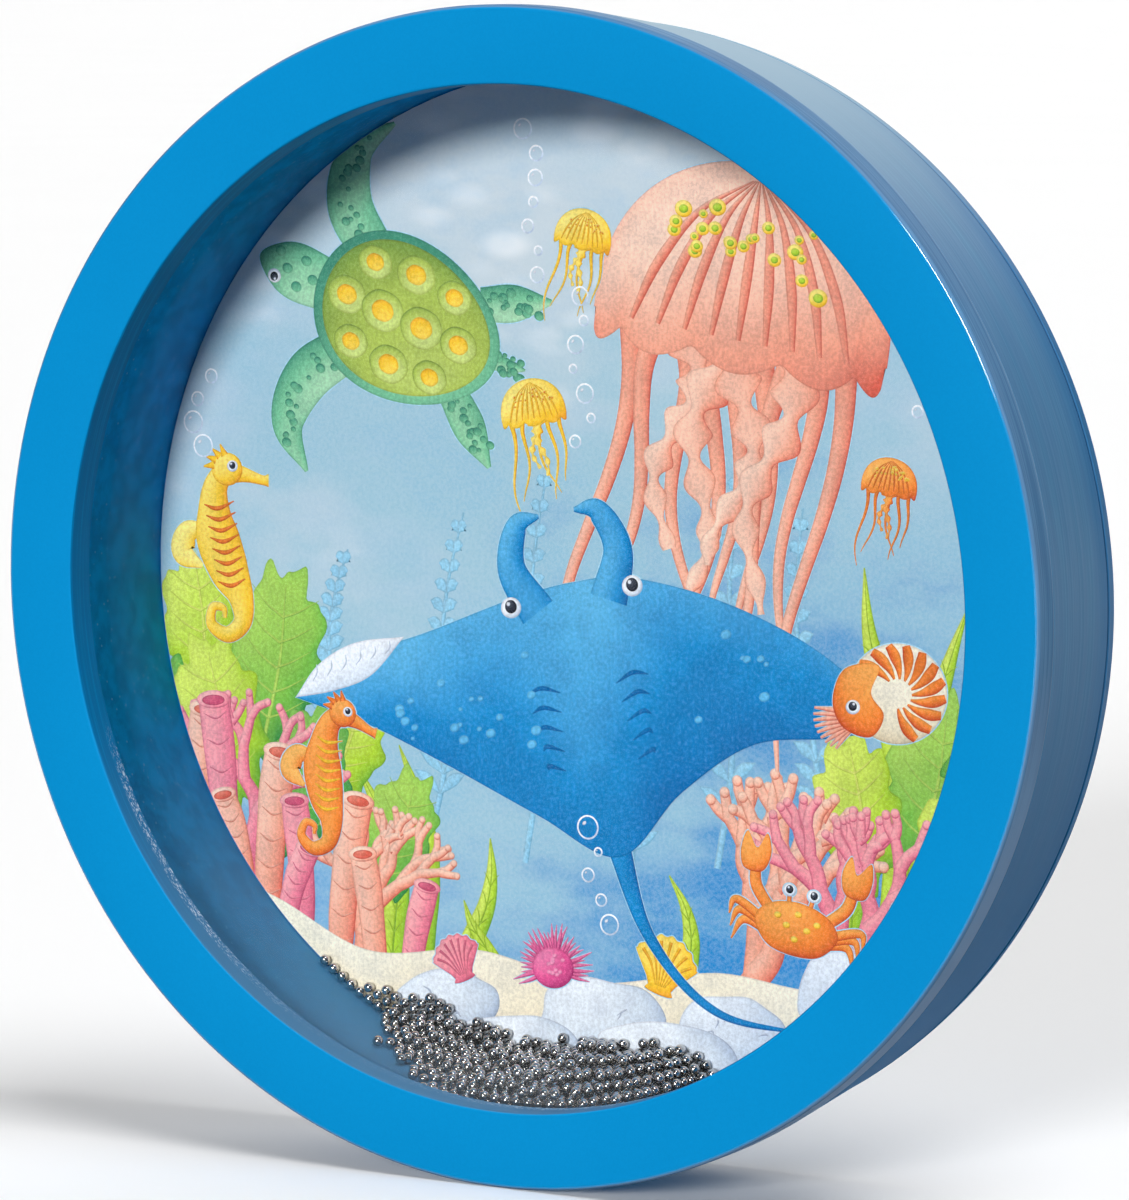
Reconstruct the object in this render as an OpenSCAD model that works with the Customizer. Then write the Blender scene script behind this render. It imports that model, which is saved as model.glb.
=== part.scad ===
// Ocean drum: a shallow round drum with a clear window, a picture inside and loose steel balls.
// Origin at the centre of the drum. +Y runs from the window to the back, +Z is up.

/* [Shell] */
// Outside diameter of the face
outer_diameter = 210; // [160:1:300]
// How much less the radius is at the back, where the tapered hoop ends
back_inset = 3; // [0:0.5:10]
// Thickness of the face ring
face_thickness = 6; // [4:0.5:10]
// Depth of the hoop, from the face ring to the back
hoop_depth = 32; // [18:0.5:65]
// Width of the face ring, from the outside to the opening
ring_width = 13.9; // [8:0.1:30]
// Thickness of the hoop's wall at the face ring
hoop_wall = 11; // [7:0.5:25]

/* [Edges] */
// Rounding of the face ring's outer front edge
face_edge_round = 0.9; // [0.3:0.1:2]
// Rounding of the edge of the opening
opening_edge_round = 0.5; // [0.2:0.1:1.5]
// Rounding of the hoop's rear edge
hoop_edge_round = 1.2; // [0.3:0.1:2]
// Bevel on the hoop where it meets the face ring
front_seam_bevel = 0.2; // [0.1:0.05:1]
// Depth of the groove turned into the hoop near its rear edge
groove_depth = 0.45; // [0.1:0.05:1]
// Distance of the groove from the hoop's rear edge
groove_inset = 4; // [3:0.1:6]

/* [Window] */
// Thickness of the clear window
window_thickness = 2; // [1:0.25:4]
// Width of the ledge in the hoop that carries the window
window_ledge = 4; // [2:0.5:8]
// Play around the rim of the window
window_play = 0.3; // [0.1:0.05:0.5]

/* [Back panel] */
// Thickness of the back panel
panel_thickness = 3.5; // [2:0.25:5]
// How far the panel lies below the hoop's rear edge
panel_recess = 0.5; // [0:0.1:1]
// Width of the ledge in the hoop that carries the panel
panel_ledge = 3; // [2:0.5:4]
// Play around the rim of the panel
panel_play = 0.3; // [0.1:0.05:0.5]
// Bevel on the panel's rear edge
panel_bevel = 0.3; // [0.1:0.05:0.5]

/* [Picture] */
// Thickness of the printed sheet
sheet_thickness = 0.25; // [0.15:0.05:1]
// Play between the sheet's rim and the hoop
sheet_play = 0.3; // [0.1:0.05:1]

/* [Balls] */
// Diameter of one ball
ball_diameter = 2; // [1.5:0.1:4]
// Play between the outermost balls and the hoop, window and picture
ball_wall_play = 0.15; // [0.05:0.05:0.5]
// Rows of balls between the picture and the window
ball_rows = 12; // [4:1:16]
// Layers of balls above the rim, at most
ball_layers = 7; // [2:1:10]
// Smallest distance between the centres of two balls in a row
ball_pitch = 2.07; // [2:0.01:3]
// Radial step from one layer to the next
layer_pitch = 1.79; // [1.7:0.01:2.5]
// Most that a row of balls lies off the rim, different from row to row
row_lift = 0.12; // [0:0.01:0.5]

/* [Heap] */
// Height of the heap against the picture, measured up from the drum's lowest inside point
heap_height = 12; // [4:0.2:30]
// Fall of the heap's surface towards the window, per length
heap_fall = 0.29; // [0:0.01:0.6]
// Rise of the heap's surface at its left end beside the picture, per length
heap_left_rise = 0.3; // [0:0.01:0.6]
// Distance left of the middle where the rise begins
heap_left_start = 14; // [0:1:40]
// Distance from the picture over which the rise fades
heap_left_fade = 2; // [1:0.5:20]
// Fall of the heap's surface at its right end, per length
heap_right_fall = 0.3; // [0:0.01:0.6]
// Distance right of the middle where the fall begins
heap_right_start = 21; // [0:1:40]
// Height of the waves on the heap
heap_wave_height = 0.9; // [0:0.1:3]
// Length of the waves on the heap
heap_wave_length = 44; // [15:1:90]
// Height of the bumps on the heap from ball to ball
heap_bump_height = 1.1; // [0:0.1:3]
// Angle of the last ball in the corner by the picture, left of the lowest point
heap_tail_angle = 38.6; // [20:0.2:60]

/* [Hidden] */
outer_r = outer_diameter / 2;
back_r = outer_r - back_inset;
opening_r = outer_r - ring_width;
bore_r = outer_r - hoop_wall;
total_depth = face_thickness + hoop_depth;
face_z = total_depth / 2;
hoop_front_z = face_z - face_thickness;
back_z = hoop_front_z - hoop_depth;
groove_z = back_z + groove_inset;
groove_r = back_r + back_inset * groove_inset / hoop_depth;

rebate_r = bore_r + window_ledge;
rebate_z = hoop_front_z - window_thickness;
window_r = rebate_r - window_play;

panel_back_z = back_z + panel_recess;
panel_front_z = panel_back_z + panel_thickness;
panel_seat_r = bore_r + panel_ledge;
panel_r = panel_seat_r - panel_play;
sheet_r = bore_r - sheet_play;
sheet_z = panel_front_z + sheet_thickness;

ball_r = ball_diameter / 2;
rim_r = bore_r - ball_r - ball_wall_play;
first_row_z = sheet_z + ball_r + ball_wall_play;
last_row_z = rebate_z - ball_r - ball_wall_play;
row_pitch = (last_row_z - first_row_z) / (ball_rows - 1);
top_layer_r = rim_r - layer_pitch * (ball_layers - 1);
ball_step = 2 * asin(ball_pitch / 2 / top_layer_r);
heap_span = 46;
slots = ceil(2 * heap_span / ball_step);
random_seed = 41;
wave_seed_share = 0.37;
rough = rands(-1, 1, ball_rows * ball_layers * slots, random_seed);
phases = rands(0, 1, ball_rows, random_seed + 1);
lifts = rands(0, 1, ball_rows, random_seed + 2);

// Turns the drum from lying on its back to standing on its rim.
module upright() {
    rotate([90, 0, 0]) children();
}

// A ring section with its top outer and top inner edges rounded.
module eased_section(inner_r, outer_r, low_z, high_z, outer_round, inner_round) {
    translate([inner_r, low_z]) square([outer_r - inner_r, high_z - low_z - max(outer_round, inner_round)]);
    translate([inner_r + inner_round, low_z])
        square([outer_r - inner_r - inner_round - outer_round, high_z - low_z]);
    translate([inner_r, low_z]) square([inner_round * 2, high_z - low_z - inner_round]);
    translate([outer_r - outer_round * 2, low_z]) square([outer_round * 2, high_z - low_z - outer_round]);
    translate([inner_r + inner_round, high_z - inner_round]) circle(inner_round, $fn = 48);
    translate([outer_r - outer_round, high_z - outer_round]) circle(outer_round, $fn = 48);
}

// The flat ring that frames the window.
module face_ring() {
    color([0.04, 0.52, 0.78]) upright() rotate_extrude($fn = 180)
        eased_section(opening_r, outer_r, hoop_front_z, face_z, face_edge_round, opening_edge_round);
}

// The clear disc behind the face ring.
module window() {
    color([0.85, 0.92, 0.96, 0.3]) upright() translate([0, 0, rebate_z])
        cylinder(h = window_thickness, r = window_r, $fn = 180);
}

// The deep hoop, tapered outside, with a ledge for the window and one for the back panel.
module hoop() {
    color([0.22, 0.38, 0.5]) upright() rotate_extrude($fn = 180) {
        polygon([
            [bore_r, panel_front_z],
            [panel_seat_r, panel_front_z],
            [panel_seat_r, back_z],
            [back_r - hoop_edge_round, back_z],
            [back_r, back_z + hoop_edge_round],
            [groove_r, groove_z - groove_depth],
            [groove_r - groove_depth, groove_z],
            [groove_r, groove_z + groove_depth],
            [outer_r, hoop_front_z - front_seam_bevel],
            [outer_r - front_seam_bevel, hoop_front_z],
            [rebate_r, hoop_front_z],
            [rebate_r, rebate_z],
            [bore_r, rebate_z]
        ]);
        translate([back_r - hoop_edge_round, back_z + hoop_edge_round]) circle(hoop_edge_round, $fn = 48);
    }
}

// The printed sheet on the inside of the back panel.
module picture_sheet() {
    color([0.62, 0.85, 0.95]) upright() translate([0, 0, panel_front_z])
        cylinder(h = sheet_thickness, r = sheet_r, $fn = 180);
}

// The panel that closes the back, set into the hoop, with a bevelled rear edge.
module back_panel() {
    color([0.2, 0.36, 0.5]) upright() rotate_extrude($fn = 180)
        polygon([
            [0, panel_back_z],
            [panel_r - panel_bevel, panel_back_z],
            [panel_r, panel_back_z + panel_bevel],
            [panel_r, panel_front_z],
            [0, panel_front_z]
        ]);
}

// Height of the heap's surface at a place across the drum and away from the picture.
function heap_top(x, away) =
    heap_height - bore_r
    + heap_left_rise * max(0, -x - heap_left_start) * exp(-away / heap_left_fade)
    - heap_right_fall * max(0, x - heap_right_start)
    - heap_fall * away
    + heap_wave_height * sin(360 * (x / heap_wave_length + away * wave_seed_share / heap_wave_length));

function ball_angle(row, layer, slot) = (slot + layer / 2 + phases[row]) * ball_step - heap_span;
function ball_reach(row, layer) = rim_r - row_lift * lifts[row] - layer_pitch * layer;
function ball_away(row) = row * row_pitch + ball_r;
function ball_index(row, layer, slot) = (row * ball_layers + layer) * slots + slot;

// A ball is in the heap when it is under the surface and two balls carry it.
function under_top(row, layer, slot) =
    let (a = ball_angle(row, layer, slot), r = ball_reach(row, layer))
    ball_r - r * cos(a) <= heap_top(r * sin(a), ball_away(row))
        + heap_bump_height * rough[ball_index(row, layer, slot)];

function in_heap(row, layer, slot) =
    slot < 0 || slot >= slots ? false
    : layer == 0 ? under_top(row, layer, slot)
        || (row == 0 && abs(ball_angle(row, layer, slot) + heap_tail_angle / 2) < heap_tail_angle / 2)
    : under_top(row, layer, slot) && in_heap(row, layer - 1, slot) && in_heap(row, layer - 1, slot + 1);

// One row of balls, all at the same distance from the picture.
module ball_row(row) {
    color([0.42, 0.42, 0.44]) upright() translate([0, 0, first_row_z + row * row_pitch])
        for (layer = [0 : ball_layers - 1])
            for (slot = [0 : slots - 1])
                if (in_heap(row, layer, slot)) {
                    a = ball_angle(row, layer, slot);
                    r = ball_reach(row, layer);
                    translate([r * sin(a), -r * cos(a), 0]) sphere(ball_r, $fn = 24);
                }
}

module balls_row_01() { ball_row(0); }
module balls_row_02() { ball_row(1); }
module balls_row_03() { ball_row(2); }
module balls_row_04() { ball_row(3); }
module balls_row_05() { ball_row(4); }
module balls_row_06() { ball_row(5); }
module balls_row_07() { ball_row(6); }
module balls_row_08() { ball_row(7); }
module balls_row_09() { ball_row(8); }
module balls_row_10() { ball_row(9); }
module balls_row_11() { ball_row(10); }
module balls_row_12() { ball_row(11); }

face_ring();
window();
hoop();
picture_sheet();
back_panel();
balls_row_01();
balls_row_02();
balls_row_03();
balls_row_04();
balls_row_05();
balls_row_06();
balls_row_07();
balls_row_08();
balls_row_09();
balls_row_10();
balls_row_11();
balls_row_12();
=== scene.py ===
"""The looks of an ocean drum: a painted wooden drum with a window, a sea picture and steel balls.

Everything is in metres in the frame of the solids: +Y runs from the window to the back and +Z is up.
The picture is drawn in millimetres across the sheet, x to the right and z up, from the drum's axis.
"""

import logging
import math
from dataclasses import dataclass, field
from enum import Enum
from typing import Callable, Sequence

import bmesh
import bpy
import numpy as np
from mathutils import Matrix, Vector


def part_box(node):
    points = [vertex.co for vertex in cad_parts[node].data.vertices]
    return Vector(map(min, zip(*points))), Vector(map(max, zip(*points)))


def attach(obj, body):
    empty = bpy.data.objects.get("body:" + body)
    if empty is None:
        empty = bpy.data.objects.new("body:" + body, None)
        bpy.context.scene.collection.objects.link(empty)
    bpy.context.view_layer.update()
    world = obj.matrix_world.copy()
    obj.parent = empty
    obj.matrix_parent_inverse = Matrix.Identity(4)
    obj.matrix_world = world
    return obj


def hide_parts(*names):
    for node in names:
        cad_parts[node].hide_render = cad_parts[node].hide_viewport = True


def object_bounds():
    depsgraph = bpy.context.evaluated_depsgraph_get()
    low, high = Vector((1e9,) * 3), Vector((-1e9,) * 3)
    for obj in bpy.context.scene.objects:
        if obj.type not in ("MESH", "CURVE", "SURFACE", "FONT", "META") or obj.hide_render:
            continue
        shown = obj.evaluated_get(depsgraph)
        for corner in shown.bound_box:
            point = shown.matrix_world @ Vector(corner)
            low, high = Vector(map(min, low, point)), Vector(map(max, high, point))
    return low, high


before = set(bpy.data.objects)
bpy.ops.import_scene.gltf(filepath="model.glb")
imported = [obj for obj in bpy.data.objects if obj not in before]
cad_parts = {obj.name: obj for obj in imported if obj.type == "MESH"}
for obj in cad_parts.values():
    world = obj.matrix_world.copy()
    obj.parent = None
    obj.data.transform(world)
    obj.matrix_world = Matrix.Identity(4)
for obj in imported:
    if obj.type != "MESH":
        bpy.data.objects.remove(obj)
SOLID_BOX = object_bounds()
LOG = logging.getLogger("ocean_drum")
MM = 0.001
TINY = 1e-9
DRUM_R = 0.105
PICTURE_SIZE = (1129, 1200)
Triple = tuple[float, float, float]


class Body(Enum):
    """The parts of the drum that move as one."""

    DRUM = "drum"


class Slot(Enum):
    """The finishes that the solids name."""

    FACE = "face_paint"
    SIDE = "side_paint"
    PRINT = "printed_paper"


# Shader maths


class Wire:
    """One socket of a node graph, with the sums that a finish needs written as Python operators."""

    def __init__(self, graph: "Graph", socket: bpy.types.NodeSocket) -> None:
        """Keeps the graph and the socket that the value comes from."""
        self.graph = graph
        self.socket = socket

    def _sum(self, operation: str, *values: "Wire | float") -> "Wire":
        """Adds one Math node.

        Args:
            operation: the Math node's operation.
            values: the numbers or wires that it works on.

        Returns:
            The node's result.
        """
        return self.graph.node("ShaderNodeMath", {"operation": operation}, dict(enumerate(values)))

    def __add__(self, other: "Wire | float") -> "Wire":
        """Sum."""
        return self._sum("ADD", self, other)

    __radd__ = __add__

    def __sub__(self, other: "Wire | float") -> "Wire":
        """Difference."""
        return self._sum("SUBTRACT", self, other)

    def __rsub__(self, other: "Wire | float") -> "Wire":
        """Difference with the wire last."""
        return self._sum("SUBTRACT", other, self)

    def __mul__(self, other: "Wire | float") -> "Wire":
        """Product."""
        return self._sum("MULTIPLY", self, other)

    __rmul__ = __mul__

    def __pow__(self, other: "Wire | float") -> "Wire":
        """Power."""
        return self._sum("POWER", self, other)

    def root(self) -> "Wire":
        """Square root."""
        return self._sum("SQRT", self)

    def rise(self, low: float, high: float, to_low: float = 0.0, to_high: float = 1.0) -> "Wire":
        """Maps a range smoothly onto another and holds it there.

        Args:
            low: value that gives to_low.
            high: value that gives to_high.
            to_low: result at and below low.
            to_high: result at and above high.

        Returns:
            The mapped value.
        """
        settings = {"interpolation_type": "SMOOTHSTEP"}
        values = {"Value": self, "From Min": low, "From Max": high, "To Min": to_low, "To Max": to_high}
        return self.graph.node("ShaderNodeMapRange", settings, values)

    def band(self, low: float, high: float, soft: float) -> "Wire":
        """1 between two values and 0 outside, with edges as wide as soft."""
        half = soft / 2
        return self.rise(low - half, low + half) * self.rise(high - half, high + half, 1.0, 0.0)


class Graph:
    """The node graph of one material, or of the surroundings."""

    def __init__(self, name: str, surroundings: bool = False) -> None:
        """Makes an empty material, or surroundings, of that name."""
        self.owner = bpy.data.worlds.new(name) if surroundings else bpy.data.materials.new(name)
        self.owner.use_nodes = True
        self.tree = self.owner.node_tree
        self.tree.nodes.clear()

    def node(self, kind: str, settings: dict | None = None, values: dict | None = None,
             out: int | str = 0) -> Wire:
        """Adds a node.

        Args:
            kind: the node's type.
            settings: properties that are set first.
            values: numbers, colours or wires by socket name or number.
            out: the output that is returned.

        Returns:
            The wire from that output.
        """
        made = self.tree.nodes.new(kind)
        for key, value in (settings or {}).items():
            setattr(made, key, value)
        for key, value in (values or {}).items():
            socket = made.inputs[key]
            if isinstance(value, Wire):
                self.tree.links.new(value.socket, socket)
            else:
                socket.default_value = value
        return Wire(self, made.outputs[out] if made.outputs else None)

    def mix(self, share: "Wire | float", first: "Wire | tuple", second: "Wire | tuple",
            blend: str = "MIX") -> Wire:
        """Mixes two colours.

        Args:
            share: how much of the second.
            first: a colour or wire.
            second: a colour or wire.
            blend: the way of mixing.

        Returns:
            The colour's wire.
        """
        settings = {"data_type": "RGBA", "blend_type": blend}
        return self.node("ShaderNodeMix", settings, {0: share, 6: first, 7: second}, out=2)

    def layers(self, base: "Wire | tuple", *steps: tuple) -> Wire:
        """Mixes further colours over a first one, each step a share and a colour."""
        for share, colour in steps:
            base = self.mix(share, base, colour)
        return base

    def place(self) -> Wire:
        """Place on the object, in metres."""
        return self.node("ShaderNodeTexCoord", out="Object")

    def stretched(self, scale: Triple, turn: Triple = (0, 0, 0)) -> Wire:
        """Place on the object, scaled and turned by a Mapping node."""
        values = {"Vector": self.place(), "Scale": scale, "Rotation": turn}
        return self.node("ShaderNodeMapping", None, values)

    def noise(self, vector: Wire, scale: float, detail: float = 3.0, rough: float = 0.55) -> Wire:
        """Cloudy noise from 0 to 1."""
        values = {"Vector": vector, "Scale": scale, "Detail": detail, "Roughness": rough}
        return self.node("ShaderNodeTexNoise", None, values)

    def cells(self, vector: Wire, scale: float) -> Wire:
        """Distance to the nearest of many scattered points."""
        return self.node("ShaderNodeTexVoronoi", None, {"Vector": vector, "Scale": scale}, out="Distance")

    def axes(self) -> tuple[Wire, Wire, Wire]:
        """The three parts of the place on the object."""
        split = self.tree.nodes.new("ShaderNodeSeparateXYZ")
        self.tree.links.new(self.place().socket, split.inputs[0])
        return tuple(Wire(self, output) for output in split.outputs)

    def attribute(self, name: str, out: str = "Fac") -> Wire:
        """A value that the mesh carries at its points."""
        return self.node("ShaderNodeAttribute", {"attribute_name": name}, None, out=out)

    def bump(self, height: Wire, depth: float, strength: float = 1.0) -> Wire:
        """A bumped normal from a height, depth in metres."""
        return self.node("ShaderNodeBump", None, {"Height": height, "Distance": depth, "Strength": strength})

    def principled(self, values: dict) -> bpy.types.Material:
        """Ends the graph in a Principled shader.

        Args:
            values: numbers, colours or wires by socket name.

        Returns:
            The finished material.
        """
        shader = self.node("ShaderNodeBsdfPrincipled", None, values)
        return self.end(shader)

    def end(self, shader: Wire) -> bpy.types.Material:
        """Links a shader to the output and returns the material."""
        self.node("ShaderNodeOutputMaterial", None, {"Surface": shader})
        return self.owner


def linear(red: float, green: float, blue: float) -> tuple[float, float, float, float]:
    """A display colour from 0 to 255 as scene-linear red, green, blue and 1."""
    shown = np.array([red, green, blue]) / 255.0
    low = shown / 12.92
    high = ((shown + 0.055) / 1.055) ** 2.4
    return (*[float(v) for v in np.where(shown <= 0.04045, low, high)], 1.0)


# Finishes


# Scales of the noises, where a larger number makes finer marks, and depths of the bumps in metres
PAINT_GRAIN = 2300
PAPER_GRAIN = 1500
ROUND_LINES = (22, 1900, 22)
PAINT_RELIEF = 0.00004
PAPER_RELIEF = 0.00001


@dataclass(frozen=True)
class FacePaint:
    """Fine-grained satin paint on the front of the face ring, thin and greyed by the board on its edges, with
    painted light low on its side band and the opening's rim, and painted glints among dust specks.
    """

    face: tuple = linear(4, 141, 205)
    face_low: tuple = linear(0, 128, 191)
    edge: tuple = linear(70, 118, 160)
    edge_light: tuple = linear(96, 142, 182)
    # painted light: a lighter blue for the lower part of the side band
    edge_painted_light_low: tuple = linear(144, 186, 232)
    board: tuple = linear(92, 114, 148)
    inner: tuple = linear(0, 102, 156)
    inner_light: tuple = linear(0, 118, 176)
    # painted light: a lit grey-blue for the lower left of the opening's rim
    inner_painted_light: tuple = linear(78, 122, 154)
    fresh: tuple = linear(8, 150, 216)
    seam: tuple = linear(150, 172, 196)
    # partly dust, partly painted glints: the pale specks by the window's edge
    dust: tuple = linear(196, 212, 228)
    face_y: float = -0.0190
    back_y: float = -0.0130
    turn_over: float = 0.00012
    lip_wander: float = 0.00016
    middle_r: float = 0.098
    blend: float = 0.001

    def build(self) -> bpy.types.Material:
        """Makes the material."""
        g = Graph("face_paint")
        x, y, z = g.axes()
        radius = (x * x + z * z).root()
        lip = y + g.noise(g.place(), 60, 2.0, 0.6) * self.lip_wander
        edge_y = self.face_y + self.turn_over
        on_edge = lip.rise(edge_y, edge_y + self.lip_wander)
        outside = radius.rise(self.middle_r - self.blend, self.middle_r + self.blend)
        grain = g.noise(g.place(), PAINT_GRAIN, 2.0, 0.6)
        cloud = g.noise(g.place(), 45, 3.0, 0.5)
        streak = g.noise(g.stretched(ROUND_LINES), 1.0, 4.0, 0.7)
        flat = y.rise(self.face_y + 0.0005, self.face_y + 0.0011)
        seam = y.band(self.back_y - 0.0003, self.back_y + 0.0003, 0.0002)
        spark = g.noise(g.stretched((1100, 4200, 1100)), 1.0, 2.0, 0.7)
        # band low on the left where the pale specks go: partly dust, partly painted glints
        low = (z + x * 0.4).band(-0.094, -0.067, 0.012)
        dust_and_glint_band = y.band(self.back_y - 0.0022, self.back_y + 0.0004, 0.0008) * low
        face = g.layers(self.face,
                        (grain.rise(0.35, 0.65, 0.0, 0.22), self.face_low),
                        (cloud.rise(0.3, 0.7, 0.0, 0.1), self.fresh))
        side = g.layers(self.edge,
                        (streak.rise(0.36, 0.64), self.edge_light),
                        (cloud.rise(0.35, 0.65, 0.0, 0.3), self.board),
                        # painted light: the lower part of the side band turns lighter
                        (z.rise(-0.052, 0.0, 0.9, 0.0) * flat, self.edge_painted_light_low),
                        (seam * 0.35, self.seam))
        rim = g.layers(self.inner,
                       (streak.rise(0.5, 0.66), self.inner_light),
                       # painted light: the lower left of the opening's rim turns a lit grey-blue
                       ((z + x * 0.3).rise(-0.105, -0.05, 0.9, 0.0), self.inner_painted_light),
                       # partly dust, partly painted glints: pale specks low on the left by the window
                       (spark.rise(0.54, 0.62, 0.0, 0.85) * dust_and_glint_band, self.dust))
        eased = y.band(self.face_y + 0.00002, self.face_y + 0.00024, 0.00002)
        return g.principled({
            "Base Color": g.mix(on_edge, face, g.mix(outside, rim, side)),
            "Roughness": on_edge.rise(0, 1, 0.45, 0.4) + grain * 0.08,
            "Specular IOR Level": 0.04,
            "Coat Weight": eased * outside,
            "Coat Roughness": 0.08,
            "Normal": g.bump(grain * 0.6 + streak * on_edge * 0.8, PAINT_RELIEF, 0.5),
        })


@dataclass(frozen=True)
class SidePaint:
    """Thin grey-blue paint with fine lines round the hoop, bright blue inside it and on the panel's rear,
    with painted sheen on the hoop's top, painted light on its bottom and the inner wall's lower left, and
    painted shade in the groove.
    """

    outer: tuple = linear(66, 124, 168)
    light: tuple = linear(92, 147, 186)
    purple: tuple = linear(92, 125, 170)
    rear: tuple = linear(24, 106, 166)
    # painted light from below: the bluer paint of the hoop's bottom
    low: tuple = linear(12, 126, 194)
    # painted sheen: the pale paint of the hoop's top
    high: tuple = linear(154, 184, 200)
    wall: tuple = linear(0, 120, 184)
    wall_light: tuple = linear(0, 140, 208)
    # painted light: the lit grey-blue of the inner wall's lower left
    wall_painted_light: tuple = linear(92, 146, 182)
    speck: tuple = linear(90, 160, 200)
    paint: tuple = linear(0, 132, 198)
    paint_low: tuple = linear(0, 118, 184)
    paint_light: tuple = linear(36, 152, 212)
    paint_dark: tuple = linear(0, 108, 168)
    scratch: tuple = linear(128, 168, 200)
    # painted shade: the dark of the groove
    groove_shade: tuple = linear(8, 44, 84)
    split_r: float = 0.0965
    blend: float = 0.001
    groove_y: float = 0.0150
    groove_half: float = 0.0003
    rear_y: float = 0.0190

    def build(self) -> bpy.types.Material:
        """Makes the material."""
        g = Graph("side_paint")
        x, y, z = g.axes()
        radius = (x * x + z * z).root()
        behind = y.rise(self.rear_y - 0.0011, self.rear_y - 0.0008)
        outside = radius.rise(self.split_r - self.blend, self.split_r + self.blend)
        # painted shade: the groove's band
        groove_shade = y.band(self.groove_y - self.groove_half, self.groove_y + self.groove_half, self.groove_half)
        streak = g.noise(g.stretched(ROUND_LINES), 1.0, 4.0, 0.7)
        fine = g.noise(g.stretched((90, 5200, 90)), 1.0, 2.0, 0.6)
        broad = g.noise(g.stretched((9, 240, 9)), 1.0, 2.0, 0.5)
        brush = g.noise(g.stretched((14, 14, 420)), 1.0, 4.0, 0.65)
        grain = g.noise(g.place(), PAINT_GRAIN, 2.0, 0.6)
        outer = g.layers(self.outer,
                         (streak.rise(0.36, 0.66, 0.1, 0.85), self.light),
                         (broad.rise(0.35, 0.65, 0.0, 0.3), self.purple),
                         (fine.rise(0.55, 0.72, 0.0, 0.24), self.scratch),
                         (y.rise(0.004, 0.0175, 0.0, 0.6), self.rear),
                         # painted light from below: the hoop's bottom turns bluer
                         (z.rise(-0.08, 0.02, 0.95, 0.0), self.low),
                         # painted sheen: the hoop's top turns pale
                         (z.rise(0.058, 0.102, 0.0, 0.8), self.high),
                         # painted shade: the groove darkens
                         (groove_shade * 0.7, self.groove_shade))
        inner = g.layers(self.wall,
                         (g.noise(g.place(), 240, 4.0, 0.65).rise(0.36, 0.64), self.wall_light),
                         # painted light: the lower left of the inner wall turns a lit grey-blue
                         ((z + x * 0.3).rise(-0.105, -0.055, 0.9, 0.0), self.wall_painted_light),
                         (g.cells(g.place(), 520).rise(0.09, 0.15, 0.6, 0.0), self.speck))
        back = g.layers(self.paint,
                        (grain.rise(0.35, 0.65, 0.0, 0.25), self.paint_low),
                        (brush.rise(0.36, 0.66, 0.0, 0.4), self.paint_light),
                        (broad.rise(0.35, 0.65, 0.0, 0.25), self.paint_dark))
        height = (streak * 0.6 + fine * 0.4) * outside + brush * behind
        sheen = outside * z.rise(-0.09, 0.03, 0.04, 0.28) + behind * (1 - outside) * 0.2
        return g.principled({
            "Base Color": g.layers(inner, (outside, outer), (behind, back)),
            "Roughness": outside.rise(0, 1, 0.42, 0.44) + fine * 0.08,
            "Specular IOR Level": 0.01,
            "Coat Weight": sheen,
            "Coat Roughness": 0.35,
            "Normal": g.bump(height, PAINT_RELIEF, 0.5),
        })


@dataclass(frozen=True)
class ClearAcrylic:
    """Clear window: see-through, rubbed below, with a faint mirror sheen that grows at a slant.

    The mirror share is least + (1 - least) * tilt ** 5, where tilt is 0 face on and 1 edge on.
    """

    sheen: tuple = (0.95, 0.97, 1.0, 1.0)
    clear: tuple = (0.985, 0.99, 0.995, 1.0)
    dust: tuple = linear(196, 206, 214)
    least: float = 0.034

    def build(self) -> bpy.types.Material:
        """Makes the material."""
        g = Graph("clear_acrylic")
        clear = g.node("ShaderNodeBsdfTransparent", None, {"Color": self.clear})
        gloss = g.node("ShaderNodeBsdfGlossy", None, {"Color": self.sheen, "Roughness": 0.03})
        haze = g.noise(g.place(), 60, 2.0, 0.5)
        tilt = g.node("ShaderNodeLayerWeight", None, {"Blend": 0.5}, "Facing")
        mirror = tilt**5 * (1 - self.least) + self.least
        x, _, z = g.axes()
        rubbed = (z + x * 0.12).rise(-0.094, -0.076, 0.045, 0.0) * haze.rise(0.2, 0.7, 0.7, 1.0)
        dust = g.node("ShaderNodeBsdfDiffuse", None, {"Color": self.dust})
        veil = g.node("ShaderNodeMixShader", None, {0: rubbed, 1: clear, 2: dust})
        share = mirror * (tilt.rise(0.15, 0.6, 0.0, 0.9) + haze.rise(0.3, 0.7, 0.06, 0.12))
        return g.end(g.node("ShaderNodeMixShader", None, {0: share, 1: veil, 2: gloss}))


@dataclass(frozen=True)
class BallSteel:
    """Dark polished steel with faint smudges."""

    steel: tuple = linear(218, 215, 212)
    smudge: tuple = linear(174, 171, 168)

    def build(self) -> bpy.types.Material:
        """Makes the material."""
        g = Graph("ball_steel")
        cloud = g.noise(g.place(), 420, 2.0, 0.5)
        colour = g.mix(cloud.rise(0.3, 0.7), self.steel, self.smudge)
        return g.principled({
            "Base Color": colour,
            "Metallic": 1.0,
            "Roughness": cloud.rise(0.3, 0.7, 0.1, 0.14),
        })


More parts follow.
